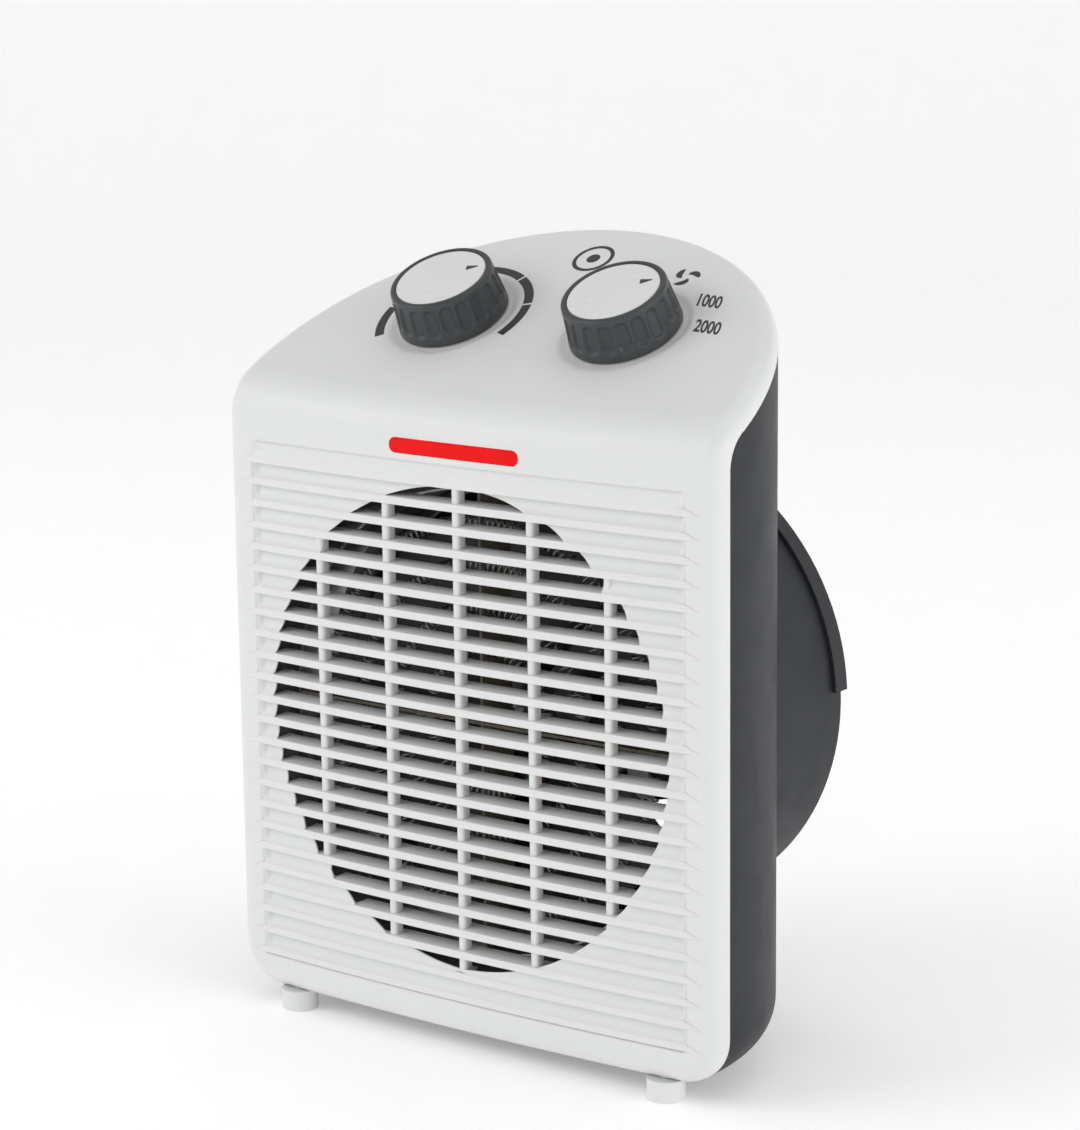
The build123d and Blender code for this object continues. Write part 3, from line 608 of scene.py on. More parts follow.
skin_points = place(columns_x, skin_depth - pressed * PLATE_UP.y, skin_level - pressed * PLATE_UP.z)
print("skin rows and columns:", skin_points.shape[:2])

# %% Open the louvred field and put the housing together
rows, columns = columns_x.shape
skin_faces = grid_faces(rows, columns)
centre = skin_points.reshape(-1, 3)[skin_faces].mean(axis=1)
centre_x, centre_level = centre[:, 0] / MM, (centre[:, 2] - AXIS_Z) / MM
row_on_face = np.repeat(stretch[:-1] == 0, columns - 1)
in_height = (centre_level > FIELD_FOOT) & (centre_level < FIELD_TOP)
opening = row_on_face & (np.abs(centre_x) < FIELD_HALF) & in_height
skin_faces = skin_faces[~opening]

foot_x = columns_x[0]
foot_corner = np.stack([foot_x, FACE + bow(foot_x), FLOOR_LEVEL + 0 * foot_x], axis=-1)
foot_skin = skin_normal(foot_x, 0 * foot_x)
foot_wall = np.tile([0.0, 0.0, -1.0], (len(foot_x), 1))
foot_run = np.tile([0.0, 1.0, 0.0], (len(foot_x), 1))
foot_ball = rounded(foot_corner, foot_skin, foot_wall)
foot_band = edge_band(foot_ball, foot_skin, foot_wall, foot_run, np.zeros(len(foot_x), int))


def to_model(points):
    """A grid of (across, depth, level) points in millimetres as metres in the model."""
    return place(points[..., 0], points[..., 1], points[..., 2])


mirror = np.array([-1.0, 1.0, 1.0])
housing_parts = [(skin_points, skin_faces)]
for band in (side_band, side_band * mirror, foot_band):
    housing_parts.append((to_model(band), grid_faces(*band.shape[:2])))
housing = make_mesh("front_moulding", *join(housing_parts))
wall = housing.modifiers.new("wall", "SOLIDIFY")
wall.thickness = HOUSING_WALL * MM
wall.offset = -1.0
wall.use_even_offset = True
finish_piece(housing, "casing", "white_shell", white_plastic, "front_housing", crisp=50)

# %% [markdown]
# ## The louvred front
# The louvres are moulded in one piece with a thin sheet. Outside the round outlet the sheet closes the
# gaps, and its shallow scallops carry the same lines out to the edge. Each louvre's nose stands just proud
# of the face and runs out to a needle tip beyond the field, so that no hard end catches the eye.

# %% Scalloped sheet between the louvres
LOUVRES = 24
PITCH = 7.43
NOSE_TOP = 82.3
NOSE_HEIGHT = 2.6
OUTLET_RADIUS = 80.0
BAR_PITCH = 29.04
BAR_HALF = 1.4
BAR_FRONT, BAR_MIDDLE, BAR_BACK = 1.0, 3.0, 5.2
BAR_CURVE = 0.7
SHEET, SHEET_TUCK = 0.6, 0.2
GROOVE_DEPTH, TOP_GROOVE_DEPTH, SHALLOWEST = 2.1, 1.2, 0.1
SCALLOP_CURVE = 2.4
CROWDING, GROOVE_END = 1.6, 1.8
SCALLOP_ROWS = 15
SCALLOP_COLUMNS = 40


def scallop(share, deepest):
    """Depth of a groove: share 0 is under a nose, where the sheet is deepest and upright. It leans forward
    more and more until it meets the top of the next nose at share 1."""
    return SHALLOWEST + (deepest - SHALLOWEST) * (1 - share**SCALLOP_CURVE)


def outlet_edge(level):
    """Half width of the outlet at a level. An edge that would run through a bar stops at its inner side."""
    circle = np.sqrt(np.clip(OUTLET_RADIUS**2 - level**2, 0, None))
    for bar in (BAR_PITCH, 2 * BAR_PITCH):
        crossed = (circle.min() < bar + BAR_HALF) & (circle.max() > bar - BAR_HALF)
        if crossed:
            circle = np.minimum(circle, bar - BAR_HALF)
    return circle


def groove(top, foot, deepest):
    """A patch of the sheet between two levels, as a closed solid: the right-hand one of a pair beside the
    outlet, or one across the whole field where the outlet doesn't reach."""
    share = np.linspace(0, 1, SCALLOP_ROWS)
    level = top + (foot - top) * share
    even = 1 - (1 - np.linspace(0, 1, SCALLOP_COLUMNS)) ** CROWDING
    inner = outlet_edge(level)[:, None]
    whole = inner.max() == 0
    if whole:
        even = np.concatenate([-even[:0:-1], even])
    x = inner + (FIELD_HALF - inner) * even[None, :]
    step = np.clip((FIELD_HALF - np.abs(x)) / GROOVE_END, 0, 1)
    depth = FACE + (scallop(share, deepest)[:, None] - FACE) * eased(step) + bow(x)
    level = level[:, None] + 0 * x
    return solid_between(place(x, depth, level), place(x, depth + SHEET, level)), whole


sheet_parts = []
nose_tops = NOSE_TOP - PITCH * np.arange(LOUVRES)
bands = [(FIELD_TOP, NOSE_TOP - SHEET_TUCK, TOP_GROOVE_DEPTH)]
for above, below in zip(nose_tops[:-1], nose_tops[1:]):
    bands.append((above - NOSE_HEIGHT + SHEET_TUCK, below - SHEET_TUCK, GROOVE_DEPTH))
for band in bands:
    (points, faces), whole = groove(*band)
    sheet_parts.append((points, faces))
    if not whole:
        sheet_parts.append((points * mirror, faces[:, ::-1]))
print("patches of the sheet:", len(sheet_parts))

# %% [markdown]
# A louvre is one cross-section pushed along the bowed face. Inside the outlet it is deep enough to hide the
# wires from a finger. Outside it ends in the sheet, and past the field it is only the tapering nose.

# %% Louvres and bars
LOUVRE_DEPTH = 8.2
OUTER_DEPTH = 3.4
TIP_DEPTH = FACE + 1.4
LOUVRE_THICK = 1.1
LOUVRE_RISE = 0.15
TIP_END = 92.6
NOSE_OUTLINE = np.array(
    [(0.40, 0.0), (0.12, 0.02), (0.02, 0.08), (0.0, 0.18), (0.0, 0.5), (0.01, 0.80), (0.06, 0.91),
     (0.16, 0.98), (0.32, 1.0)]
)


def louvre_stations(level):
    """Places across where the cross-section is set: close together at the outlet's edge and in the tips."""
    reach = math.sqrt(max(OUTLET_RADIUS**2 - min(abs(level), abs(level - NOSE_HEIGHT)) ** 2, 0)) + 1
    inside = np.linspace(0, reach, 36)
    outside = np.linspace(reach + 0.05, FIELD_HALF, 14)
    tip = FIELD_HALF + (TIP_END - FIELD_HALF) * np.sin(np.linspace(0, math.pi / 2, 12))[1:]
    half = np.concatenate([inside, outside, tip])
    back = np.concatenate([0 * inside + LOUVRE_DEPTH, 0 * outside + OUTER_DEPTH, 0 * tip + TIP_DEPTH])
    return np.concatenate([-half[:0:-1], half]), np.concatenate([back[:0:-1], back])


def louvre(level):
    """A closed louvre whose nose has its top at the level."""
    x, back = louvre_stations(level)
    taper = np.clip((TIP_END - np.abs(x)) / (TIP_END - FIELD_HALF), 0, 1)
    height = NOSE_HEIGHT * taper**0.85
    front = FACE * (1 - taper**0.5)
    nose_depth = front[:, None] + NOSE_OUTLINE[None, :, 0]
    nose_level = -NOSE_HEIGHT + height[:, None] * NOSE_OUTLINE[None, :, 1]
    rise = LOUVRE_RISE * back / LOUVRE_DEPTH
    top_back = -NOSE_HEIGHT + height + rise
    under_back = np.maximum(top_back - LOUVRE_THICK, -NOSE_HEIGHT + 0.3 * height)
    depth = np.concatenate([nose_depth, np.stack([back - 0.2, back, back, back - 0.2], axis=1)], axis=1)
    ends = np.stack([top_back, top_back - 0.2 * taper, under_back + 0.2 * taper, under_back], axis=1)
    levels = np.concatenate([nose_level, ends], axis=1)
    for end in (0, -1):
        depth[end], levels[end] = FACE, -NOSE_HEIGHT
    points = place(x[:, None], depth + bow(x)[:, None], level + levels)
    return points, grid_faces(len(x), depth.shape[1], close_columns=True)


def bar(x):
    """An upright bar with a rounded front, set a little behind the noses."""
    reach = math.sqrt(OUTLET_RADIUS**2 - (abs(x) + BAR_HALF) ** 2)
    upper = nose_tops[nose_tops - NOSE_HEIGHT < reach + PITCH - NOSE_HEIGHT].max() - 0.5 * NOSE_HEIGHT
    lower = nose_tops[nose_tops > -reach - PITCH + NOSE_HEIGHT].min() - 0.5 * NOSE_HEIGHT
    half_turn = np.linspace(math.pi, 0, 13)
    sideways = np.sign(np.cos(half_turn)) * np.abs(np.cos(half_turn)) ** BAR_CURVE
    across = np.concatenate([BAR_HALF * sideways, [BAR_HALF - 0.3, 0.3 - BAR_HALF]])
    rounding = BAR_FRONT + BAR_HALF * (1 - np.sin(half_turn) ** BAR_CURVE)
    back = np.concatenate([rounding, [BAR_BACK, BAR_BACK]])
    level = np.concatenate([[lower, lower], np.linspace(lower, upper, 60), [upper, upper]])
    shrink = np.ones(len(level))
    shrink[[0, -1]] = 0
    depth = bow(x) + BAR_MIDDLE + (back[None, :] - BAR_MIDDLE) * shrink[:, None]
    points = place(x + across[None, :] * shrink[:, None], depth, level[:, None] + 0 * across)
    return points, grid_faces(len(level), len(across), close_columns=True)


louvre_parts = [louvre(level) for level in nose_tops]
bar_parts = [bar(step * BAR_PITCH) for step in range(-2, 3)]
grille = make_mesh("louvred_front", *join(sheet_parts + louvre_parts + bar_parts))
finish_piece(grille, "casing", "white_grille", white_plastic, "outlet_grille")

# %% [markdown]
# The duct behind the sheet flares out to a soft mouth, so that a view through the gaps ends on dark plastic
# and not on the hollow behind the front. The mouth's edge follows the front's bow.

# %% Flared mouth of the duct
def ring_profile(radius, depth, turns=160):
    """A closed ring: an outline of (radius, depth) points turned once round the outlet's axis."""
    angle = np.linspace(0, 2 * math.pi, turns, endpoint=False)[:, None]
    radius, depth = np.asarray(radius)[None, :], np.asarray(depth)[None, :]
    points = place(radius * np.sin(angle), depth + 0 * angle, radius * np.cos(angle))
    return points, grid_faces(turns, radius.shape[1], close_rows=True, close_columns=True)


FLARE_FRONT, FLARE_BACK = 5.2, 14.0
DUCT_RADIUS, FLARE_REACH, DUCT_WALL = 79.4, 4.2, 1.4
flare_depth = np.linspace(FLARE_FRONT, FLARE_BACK, 12)
opened = (FLARE_BACK - flare_depth) / (FLARE_BACK - FLARE_FRONT)
flare = DUCT_RADIUS + FLARE_REACH * opened**1.5
there_and_back = np.concatenate([np.arange(12), np.arange(12)[::-1]])
mouth_radius = np.concatenate([flare, flare[::-1] + DUCT_WALL])
mouth_points, mouth_faces = ring_profile(mouth_radius, flare_depth[there_and_back])
mouth_points[..., 1] += bow(mouth_points[..., 0] / MM) * MM * opened[there_and_back]
mouth = make_mesh("duct_mouth", mouth_points, mouth_faces)
finish_piece(mouth, "casing", "duct_grey", duct_plastic)

# %% [markdown]
# The lens of the pilot lamp is a pill of clear red plastic, pressed from behind through its slot until its
# face stands a tenth of a millimetre proud. Its rows are copies of one outline, shrunk towards its middle
# line, so the edge is a small rounding and the face is almost flat.

# %% Pilot lens
LENS_HALF, LENS_RADIUS, LENS_LEVEL = 26.0, 2.6, 91.8


def pill(rows, half_length, radius):
    """Outline of a pill shape as (across, up) offsets, and its shrunken copies towards a middle line."""
    turn = np.linspace(-math.pi / 2, math.pi / 2, 15)
    right = np.stack([half_length - radius + radius * np.cos(turn), radius * np.sin(turn)], axis=-1)
    straight = np.linspace(half_length - radius, radius - half_length, 24)[1:-1]
    top = np.stack([straight, radius + 0 * straight], axis=-1)
    outline = np.concatenate([right, top, -right, -top])
    middle = np.stack([np.clip(outline[:, 0], radius - half_length, half_length - radius),
                       0 * outline[:, 1]], axis=-1)
    share = np.asarray(rows)[:, None, None]
    return middle + (outline - middle) * share


shrink = np.array([1.0, 1.0, 0.97, 0.92, 0.84, 0.6, 0.3, 0.0])
proud = np.array([-0.9, -0.10, 0.02, 0.08, 0.10, 0.11, 0.12, 0.12])
outline = pill(shrink, LENS_HALF, LENS_RADIUS)
lens = make_mesh(
    "pilot_lens",
    place(outline[..., 0], FACE + bow(outline[..., 0]) - proud[:, None], LENS_LEVEL + outline[..., 1]),
    grid_faces(*outline.shape[:2], close_columns=True),
)
lens_cap = lens.modifiers.new("thickness", "SOLIDIFY")
lens_cap.thickness = 0.5 * MM
finish_piece(lens, "casing", "red_lens", red_lens, crisp=60)

# %% [markdown]
# ## The knobs
# A knob is a turned shape with twenty finger panels pressed into its side. One formula makes both: the
# profile gives the radius at each height, and the distance to a rounded rectangle, drawn on the unrolled
# side, tells how deep the panel is there. Negative distance is inside the panel, so its edge is soft.

# %% Turned knobs with finger panels
KNOB_RADIUS, KNOB_TOP_RADIUS, KNOB_HEIGHT = 19.0, 17.5, 14.8
KNOB_SOLE, KNOB_HOLLOW, KNOB_CROWN = -0.4, 7.0, 0.9
CAP_RADIUS, CAP_SEAT = 15.5, KNOB_HEIGHT - 1.02
FLUTES = 20
FLUTE_COLUMNS = 22
PANEL_HALF, PANEL_FOOT, PANEL_TOP, PANEL_CORNER, PANEL_DEEP = 2.35, 2.7, 12.6, 2.1, 0.95
PANEL_EDGE, PANEL_START = 1.3, 0.35
KNOBS = ((-1, "thermostat"), (1, "selector"))


def on_plate(side, x, along, up):
    """Millimetres from a knob's centre: across, up the slope and off the plate, as metres in the model."""
    depth = KNOB_DEPTH + along * PLATE_BACK.y + up * PLATE_UP.y
    level = KNOB_LEVEL + along * PLATE_BACK.z + up * PLATE_UP.z
    return place(side * KNOB_SPACING + x, depth, level)


def panel_recess(arc, height):
    """Depth of the panels: arc is the distance round the side, height the distance off the plate."""
    pitch = 2 * math.pi * KNOB_RADIUS / FLUTES
    nearest = (arc / pitch + 0.5) % 1 * pitch - 0.5 * pitch
    half_height = (PANEL_TOP - PANEL_FOOT) / 2
    over_x = np.abs(nearest) - PANEL_HALF + PANEL_CORNER
    over_y = np.abs(height - (PANEL_TOP + PANEL_FOOT) / 2) - half_height + PANEL_CORNER
    outside = np.hypot(np.maximum(over_x, 0), np.maximum(over_y, 0))
    distance = outside + np.minimum(np.maximum(over_x, over_y), 0) - PANEL_CORNER
    return PANEL_DEEP * eased(np.clip(PANEL_START - distance / PANEL_EDGE, 0, 1))


def knob_points(side):
    """Rows from the middle of the underside, up the fluted wall and over the rim to the cap's seat."""
    wall_height = np.linspace(0.3, KNOB_HEIGHT - KNOB_CROWN, 44)
    slope = (KNOB_RADIUS - KNOB_TOP_RADIUS) / KNOB_HEIGHT
    wall_radius = KNOB_RADIUS - slope * wall_height
    turn = np.linspace(0, math.pi / 2, 7)[1:]
    crown_radius = wall_radius[-1] - KNOB_CROWN * (1 - np.cos(turn))
    crown_height = KNOB_HEIGHT - KNOB_CROWN + KNOB_CROWN * np.sin(turn)
    under_radius = [0, 15.0, 15.3, 18.6, 18.9]
    under_height = [KNOB_HOLLOW, KNOB_HOLLOW, KNOB_SOLE, KNOB_SOLE, -0.1]
    seat_radius = [CAP_RADIUS + 0.35, CAP_RADIUS + 0.12, CAP_RADIUS + 0.1, CAP_RADIUS + 0.1, 0]
    seat_height = [KNOB_HEIGHT, KNOB_HEIGHT - 0.1, KNOB_HEIGHT - 0.3, CAP_SEAT, CAP_SEAT]
    radius = np.concatenate([under_radius, wall_radius, crown_radius, seat_radius])
    height = np.concatenate([under_height, wall_height, crown_height, seat_height])
    angle = np.linspace(0, 2 * math.pi, FLUTES * FLUTE_COLUMNS, endpoint=False)[None, :]
    radius, height = radius[:, None], height[:, None]
    wall_row = np.arange(len(radius)) - len(under_radius)
    on_wall = (wall_row >= 0) & (wall_row < len(wall_height))
    recess = panel_recess(angle * KNOB_RADIUS, height) * on_wall[:, None]
    reach = radius - recess
    return on_plate(side, reach * np.sin(angle), reach * np.cos(angle), height + 0 * angle)


for side, word in KNOBS:
    points = knob_points(side)
    knob = make_mesh(word + "_fluted_knob", points, grid_faces(*points.shape[:2], close_columns=True))
    finish_piece(knob, word + "_control", "dark_knob", knob_plastic, word + "_knob")

# %% [markdown]
# Each knob is closed by a pale disc with a dark wedge let into it as the pointer. The disc is very slightly
# domed, which is what lets a long soft highlight travel over it when the knob turns.

# %% Caps and pointers
POINTER_TURN = math.radians(52.0)
POINTER_START, POINTER_END = 8.9, 13.0
POINTER_LEAN = math.radians(13.0)
POINTER_WIDE, POINTER_THIN = 1.45, 0.25
DISC_TOP, DISC_ROUNDING = KNOB_HEIGHT - 0.15, 0.35
DOME_RISE, DOME_RADIUS = 0.25, 15.0


def dome(square):
    """Height of the disc's top at a distance from its middle, given as the distance's square."""
    return DISC_TOP + DOME_RISE * (1 - square / DOME_RADIUS**2)


def disc_points(side):
    """A turned disc: a foot hidden in the knob, a rounded edge and a slightly domed top."""
    turn = np.linspace(0, math.pi / 2, 6)
    rim = CAP_RADIUS - 0.05
    top_radius = np.array([13.5, 10.0, 6.0, 3.0, 0])
    radius = np.concatenate([[0, 14.5, rim], rim - DISC_ROUNDING * (1 - np.cos(turn)), top_radius])
    height = np.concatenate([[DISC_TOP - 0.8] * 3, DISC_TOP - DISC_ROUNDING + DISC_ROUNDING * np.sin(turn),
                             dome(top_radius**2)])
    angle = np.linspace(0, 2 * math.pi, 128, endpoint=False)[None, :]
    return on_plate(side, radius[:, None] * np.sin(angle), radius[:, None] * np.cos(angle),
                    height[:, None] + 0 * angle)


def pointer_solid(side):
    """The wedge: blunt towards the middle, thin outwards, with its top a hair above the disc."""
    share = np.linspace(0, 1, 10)[:, None]
    across = np.linspace(-1, 1, 5)[None, :]
    half = POINTER_WIDE + (POINTER_THIN - POINTER_WIDE) * share**0.9
    half = half * np.array([0.86] + [1.0] * 8 + [0.6])[:, None]
    middle = (POINTER_START + POINTER_END) / 2
    run = (share - 0.5) * (POINTER_END - POINTER_START) + 0 * across
    aside = across * half
    out = middle + run * math.cos(POINTER_LEAN) - aside * math.sin(POINTER_LEAN)
    around = run * math.sin(POINTER_LEAN) + aside * math.cos(POINTER_LEAN)
    x = out * math.sin(POINTER_TURN) + around * math.cos(POINTER_TURN)
    along = out * math.cos(POINTER_TURN) - around * math.sin(POINTER_TURN)
    top = dome(x**2 + along**2)
    return solid_between(on_plate(side, x, along, top + 0.06), on_plate(side, x, along, top - 0.3))


for side, word in KNOBS:
    points = disc_points(side)
    disc = make_mesh(word + "_disc", points, grid_faces(*points.shape[:2], close_columns=True))
    finish_piece(disc, word + "_control", "white_cap", white_disc, word + "_knob_cap")
    pointer = make_mesh(word + "_pointer", *pointer_solid(side))
    finish_piece(pointer, word + "_control", "dark_knob", knob_plastic)

# %% [markdown]
# ## Dial marks
# The marks on the plate are pad-printed ink, a few hundredths of a millimetre thick. Each is a thin sheet
# laid on the plate: arcs for the thermostat, and a small fan, two numbers and a ring with a dot beside the
# selector. They follow the plate, so they are drawn in its own directions.

# %% Printed marks
INK = 0.05
ink = moulded("printed ink", (0.040, 0.042, 0.044), 0.5, 0.2, 0.002, 0.05)


def ink_sheet(across, along):
    """A thin closed sheet over a grid of places on the plate, from the middle between the knobs."""
    lift = np.full_like(across, INK)
    return solid_between(on_plate(0, across, along, lift), on_plate(0, across, along, -lift))


def arc_sheet(centre, start, end, inner, outer):
    """A stretch of a ring. Angles are in degrees, clockwise from straight up the slope."""
    angle = np.radians(np.linspace(start, end, 24))[:, None]
    radius = np.linspace(inner, outer, 4)[None, :]
    return ink_sheet(centre[0] + radius * np.sin(angle), centre[1] + radius * np.cos(angle))


def blade_sheet(centre, turn):
    """One comma-shaped blade of the fan sign: a band whose middle line curls and whose width swells."""
    share = np.linspace(0, 1, 14)[:, None]
    side = np.linspace(-1, 1, 5)[None, :]
    curl = math.radians(turn) + 1.35 * share
    radius = 1.5 + 3.5 * share
    half = 0.35 + 1.2 * np.sin(math.pi * share**1.25) * (1 - 0.3 * share)
    half[-1] = 0.02
    x, y = radius * np.sin(curl), radius * np.cos(curl)
    return ink_sheet(centre[0] + x + side * half * np.cos(curl + 0.5),
                     centre[1] + y - side * half * np.sin(curl + 0.5))


ARC_START, ARC_END, ARC_GAP, ARCS = -126.0, 109.0, 2.2, 6
ARC_INNER, ARC_OUTER = 24.4, 27.6
RING_CENTRE = (-0.8, 36.5)
FAN_SIGN_CENTRE = (KNOB_SPACING + 5.2, 30.3)
arc_pitch = (ARC_END - ARC_START + ARC_GAP) / ARCS
marks = []
for start in ARC_START + arc_pitch * np.arange(ARCS):
    marks.append(arc_sheet((-KNOB_SPACING, 0), start, start + arc_pitch - ARC_GAP, ARC_INNER, ARC_OUTER))
for turn in (10, 130, 250):
    marks.append(blade_sheet(FAN_SIGN_CENTRE, turn))
for inner, outer in ((6.0, 7.4), (0.05, 2.4)):
    for start in (0.0, 180.0):
        marks.append(arc_sheet(RING_CENTRE, start, start + 180.0, inner, outer))
print_marks = make_mesh("dial_marks", *join(marks), tidy=False)
finish_piece(print_marks, "casing", "dark_knob", ink, crisp=30)


NUMBER_SIZE, NUMBER_BOLD = 8.8, 0.20
NARROWING = 0.58
LETTER_LEAN, BASE_DROP = 0.30, 0.08


def number_mark(text, across, along):
    """A printed number: the font's outlines made into a mesh and laid on the plate."""
    curve = bpy.data.curves.new("number", "FONT")
    curve.body = text
    curve.size = NUMBER_SIZE * MM
    curve.extrude = INK * MM
    curve.offset = NUMBER_BOLD * MM
    curve.align_x, curve.align_y = "CENTER", "CENTER"
    holder = bpy.data.objects.new("number", curve)
    bpy.context.scene.collection.objects.link(holder)
    mesh = bpy.data.meshes.new_from_object(holder.evaluated_get(bpy.context.evaluated_depsgraph_get()))
    bpy.data.objects.remove(holder)
    bpy.data.curves.remove(curve)
    flat = np.empty(len(mesh.vertices) * 3)
    mesh.vertices.foreach_get("co", flat)
    flat = flat.reshape(-1, 3) / MM
    x = NARROWING * flat[:, 0] - LETTER_LEAN * flat[:, 1]
    moved = on_plate(1, across + x, along + flat[:, 1] - BASE_DROP * x, flat[:, 2])
    mesh.vertices.foreach_set("co", moved.astype(np.float32).ravel())
    mesh.update()
    piece = bpy.data.objects.new("number_" + text, mesh)
    bpy.context.scene.collection.objects.link(piece)
    finish_piece(piece, "casing", "dark_knob", ink, crisp=None)


number_mark("1000", 21.2, 18.0)
number_mark("2000", 28.6, 4.4)

# %% [markdown]
# ## Behind the louvres
# The heater is four rings of coiled resistance wire on crossed mica boards. Each coil is a helix whose
# axis is bent into a circle. The wire is less than a millimetre thick, so five sides are enough.

# %% Resistance coils
COIL_RADII = (24.0, 38.0, 52.0, 66.0)
COIL_DEPTH = 18.0
COIL_HALF, WIRE_RADIUS, WIRE_SIDES = 2.1, 0.34, 5
COIL_TURN_PITCH, COIL_TURN_STEPS = 2.3, 14


def coil(ring_radius):
    """A closed helix round a ring: the turns are a whole number, so that its end meets its start."""
    turns = round(2 * math.pi * ring_radius / COIL_TURN_PITCH)
    steps = turns * COIL_TURN_STEPS
    round_ring = np.linspace(0, 2 * math.pi, steps, endpoint=False)
    twist = turns * round_ring
    out = np.stack([np.sin(round_ring), 0 * round_ring, np.cos(round_ring)], axis=-1)
    back = np.array([0.0, 1.0, 0.0])
    spoke = np.cos(twist)[:, None] * out + np.sin(twist)[:, None] * back
    line = ring_radius * out + COIL_HALF * spoke
    ahead = np.roll(line, -1, axis=0) - np.roll(line, 1, axis=0)
    ahead /= np.linalg.norm(ahead, axis=1, keepdims=True)
    across = np.cross(ahead, spoke)
    section = np.linspace(0, 2 * math.pi, WIRE_SIDES, endpoint=False)[None, :, None]
    tube = WIRE_RADIUS * (np.cos(section) * spoke[:, None] + np.sin(section) * across[:, None])
    points = line[:, None] + tube
    return (place(points[..., 0], COIL_DEPTH + points[..., 1], points[..., 2]),
            grid_faces(steps, WIRE_SIDES, close_rows=True, close_columns=True))


wires = make_mesh("resistance_wire", *join([coil(radius) for radius in COIL_RADII]))
finish_piece(wires, "casing", "coil_wire", coil_metal, "heating_coils", crisp=None)

# %% [markdown]
# The fan is moulded in one piece: five broad blades on a hub, a little flatter towards the tip and swept
# round. Each blade is a grid in radius and chord, bent by its pitch.

# %% Fan
FAN_MIDDLE = 39.5
HUB_RADIUS, FAN_RADIUS = 15.0, 70.0
BLADES = 5
BLADE_HALF, BLADE_SWEEP = math.radians(37), math.radians(14)
BLADE_REACH, BLADE_CAMBER, BLADE_HALF_THICK = 6.4, 1.6, 0.6
CORNER_START = 0.85


def blade(number):
    """Closed blade: its chord angle grows and its pitch falls with the radius; the corners are rounded."""
    share = np.linspace(0, 1, 22)[:, None]
    chord = np.linspace(-1, 1, 19)[None, :]
    radius = HUB_RADIUS - 2 + (FAN_RADIUS - HUB_RADIUS + 2) * share
    past_corner = np.clip((share - CORNER_START) / 0.15, 0, 1)
    corner = np.sqrt(np.clip(1 - past_corner**2, 0.0, 1)) * 0.25 + 0.75
    half_angle = BLADE_HALF * (0.80 + 0.20 * share) * corner
    sweep = BLADE_SWEEP * share**2
    angle = 2 * math.pi / BLADES * number + sweep + chord * half_angle
    reach = BLADE_REACH * (1 - 0.12 * share)
    camber = BLADE_CAMBER * (1 - chord**2)
    depth = FAN_MIDDLE + reach * chord - camber
    half_thick = BLADE_HALF_THICK * np.sqrt(np.clip(1.02 - chord**4, 0, 1)) + 0 * share
    x, level = radius * np.sin(angle), radius * np.cos(angle)
    return solid_between(place(x, depth - half_thick, level), place(x, depth + half_thick, level))


hub_outline = ring_profile(
    [2.3, 6.0, 11.5, 14.0, 14.8, 15.0, 15.0, 14.6, 13.4, 13.0, 4.2, 4.2, 2.3],
    [33.6, 33.3, 33.5, 34.2, 35.2, 36.5, 46.2, 46.8, 46.8, 36.0, 35.2, 46.6, 46.6],
    96,
)
fan = make_mesh("fan_wheel", *join([blade(number) for number in range(BLADES)] + [hub_outline]))
finish_piece(fan, "fan", "dark_fan", fan_plastic, "fan_impeller", crisp=45)

# %% [markdown]
# ## Floor, light and camera
# The heater stands in the middle of a plain pale floor that curves up into a wall all round, as in a small
# product studio. Big soft lights leave no hard shadow and draw long, calm reflections on the plastic.

# %% Studio
FLOOR_REACH, COVE, STUDIO_HEIGHT = 2.4, 1.0, 2.2
PAPER_GLOW, AIR_LIGHT = 0.25, 0.45
MIDDLE = Vector((0.0, 0.0, 0.13))


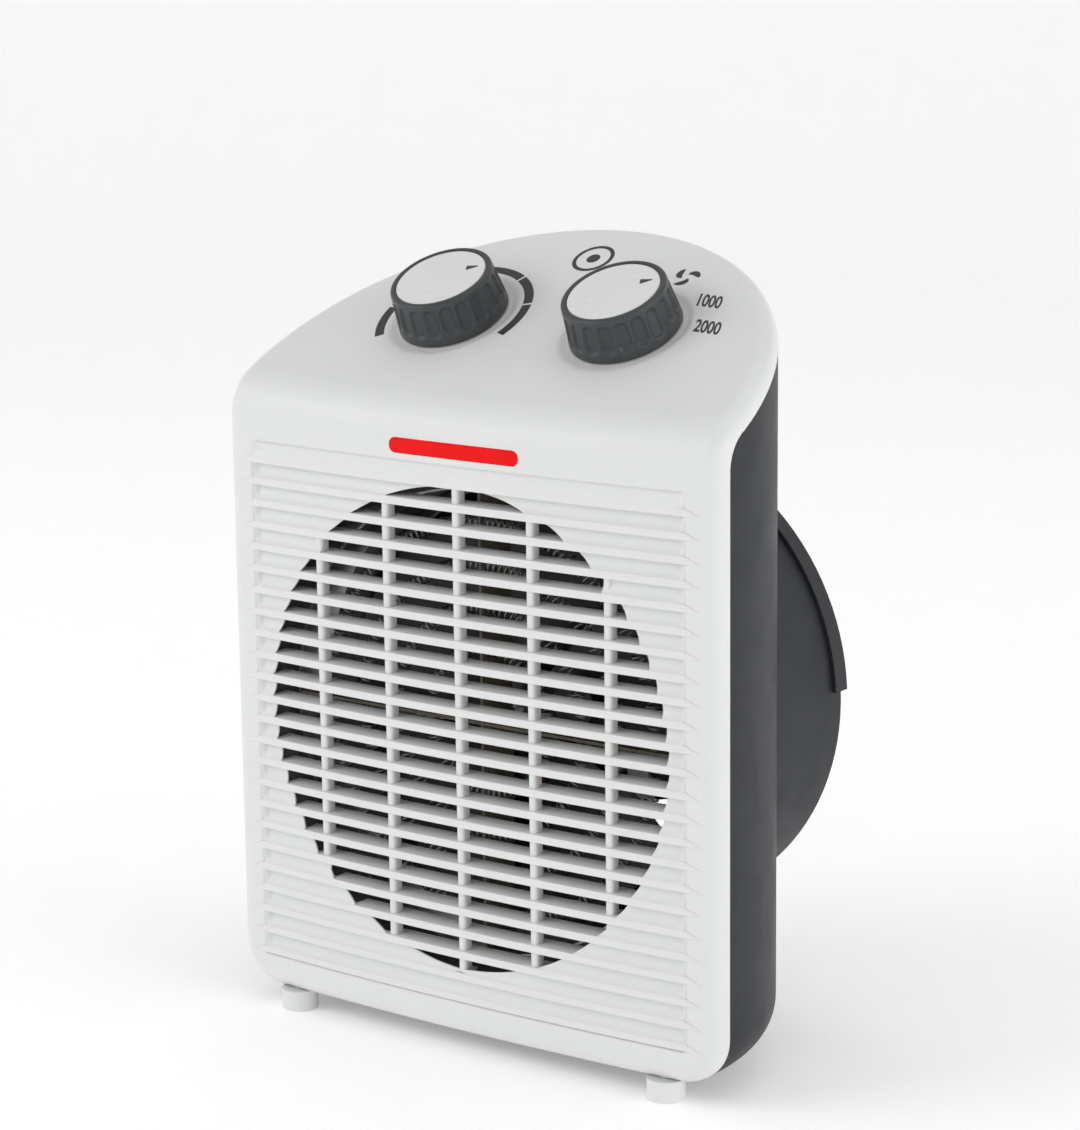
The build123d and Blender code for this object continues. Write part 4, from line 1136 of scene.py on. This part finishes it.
def studio():
    """A round floor, a quarter circle up from it and an upright wall, in paper that glows a little."""
    material, tree, shader, places = new_material("studio paper")
    fibres = noise(tree, places, 40.0, 4.0)
    two_tone(tree, shader, spread(tree, fibres, 0, 1), (0.92, 0.92, 0.92), (0.90, 0.90, 0.905))
    shader.inputs["Roughness"].default_value = 0.85
    shader.inputs["Emission Color"].default_value = (1, 1, 1, 1)
    shader.inputs["Emission Strength"].default_value = PAPER_GLOW
    turn = np.linspace(0, math.pi / 2, 20)
    radius = np.concatenate([np.linspace(0, FLOOR_REACH, 8), FLOOR_REACH + COVE * np.sin(turn[1:]),
                             [FLOOR_REACH + COVE]])[:, None]
    rise = np.concatenate([np.zeros(8), COVE * (1 - np.cos(turn[1:])), [STUDIO_HEIGHT]])[:, None]
    angle = np.linspace(0, 2 * math.pi, 96, endpoint=False)[None, :]
    points = np.stack([radius * np.cos(angle), radius * np.sin(angle), rise + 0 * angle], axis=-1)
    floor = make_mesh("studio_floor", points, grid_faces(*points.shape[:2], close_columns=True))
    floor.data.materials.append(material)


def soft_light(name, place_at, width, height, power):
    """A rectangular light of this width and height in metres, turned towards the heater."""
    lamp = bpy.data.lights.new(name, "AREA")
    lamp.shape = "RECTANGLE"
    lamp.size, lamp.size_y = width, height
    lamp.energy = power
    holder = bpy.data.objects.new(name, lamp)
    bpy.context.scene.collection.objects.link(holder)
    holder.location = place_at
    holder.rotation_euler = (MIDDLE - Vector(place_at)).to_track_quat("-Z", "Y").to_euler()


studio()
soft_light("key_light", (-1.25, -1.35, 1.25), 1.3, 1.0, 10.4)
soft_light("side_light", (1.8, 0.1, 0.5), 1.2, 1.2, 8.3)
soft_light("top_light", (0.1, 0.3, 1.8), 1.6, 1.2, 4)
world = bpy.data.worlds.new("studio air")
bpy.context.scene.world = world
world.use_nodes = True
air = world.node_tree.nodes["Background"]
air.inputs["Color"].default_value = (1, 1, 1, 1)
air.inputs["Strength"].default_value = AIR_LIGHT
bpy.context.scene.view_settings.view_transform = "Standard"

# %% Camera
CAMERA_PLACE = (0.6407, NOSE_Y - 0.8195, AXIS_Z + 0.2754)
camera_data = bpy.data.cameras.new("camera")
camera_data.sensor_width = 36.0
camera_data.lens = 106.3
camera_data.clip_end = 20.0
camera = bpy.data.objects.new("camera", camera_data)
bpy.context.scene.collection.objects.link(camera)
RIGHT = Vector((0.8054, 0.5927, -0.0114)).normalized()
AHEAD = Vector((-0.5818, 0.7865, -0.2074)).normalized()
ABOVE = RIGHT.cross(AHEAD).normalized()
RIGHT = AHEAD.cross(ABOVE)
turned = Matrix((RIGHT, ABOVE, -AHEAD)).transposed().to_4x4()
camera.matrix_world = Matrix.Translation(CAMERA_PLACE) @ turned
bpy.context.scene.camera = camera
print("camera at", [round(v, 3) for v in camera.location])
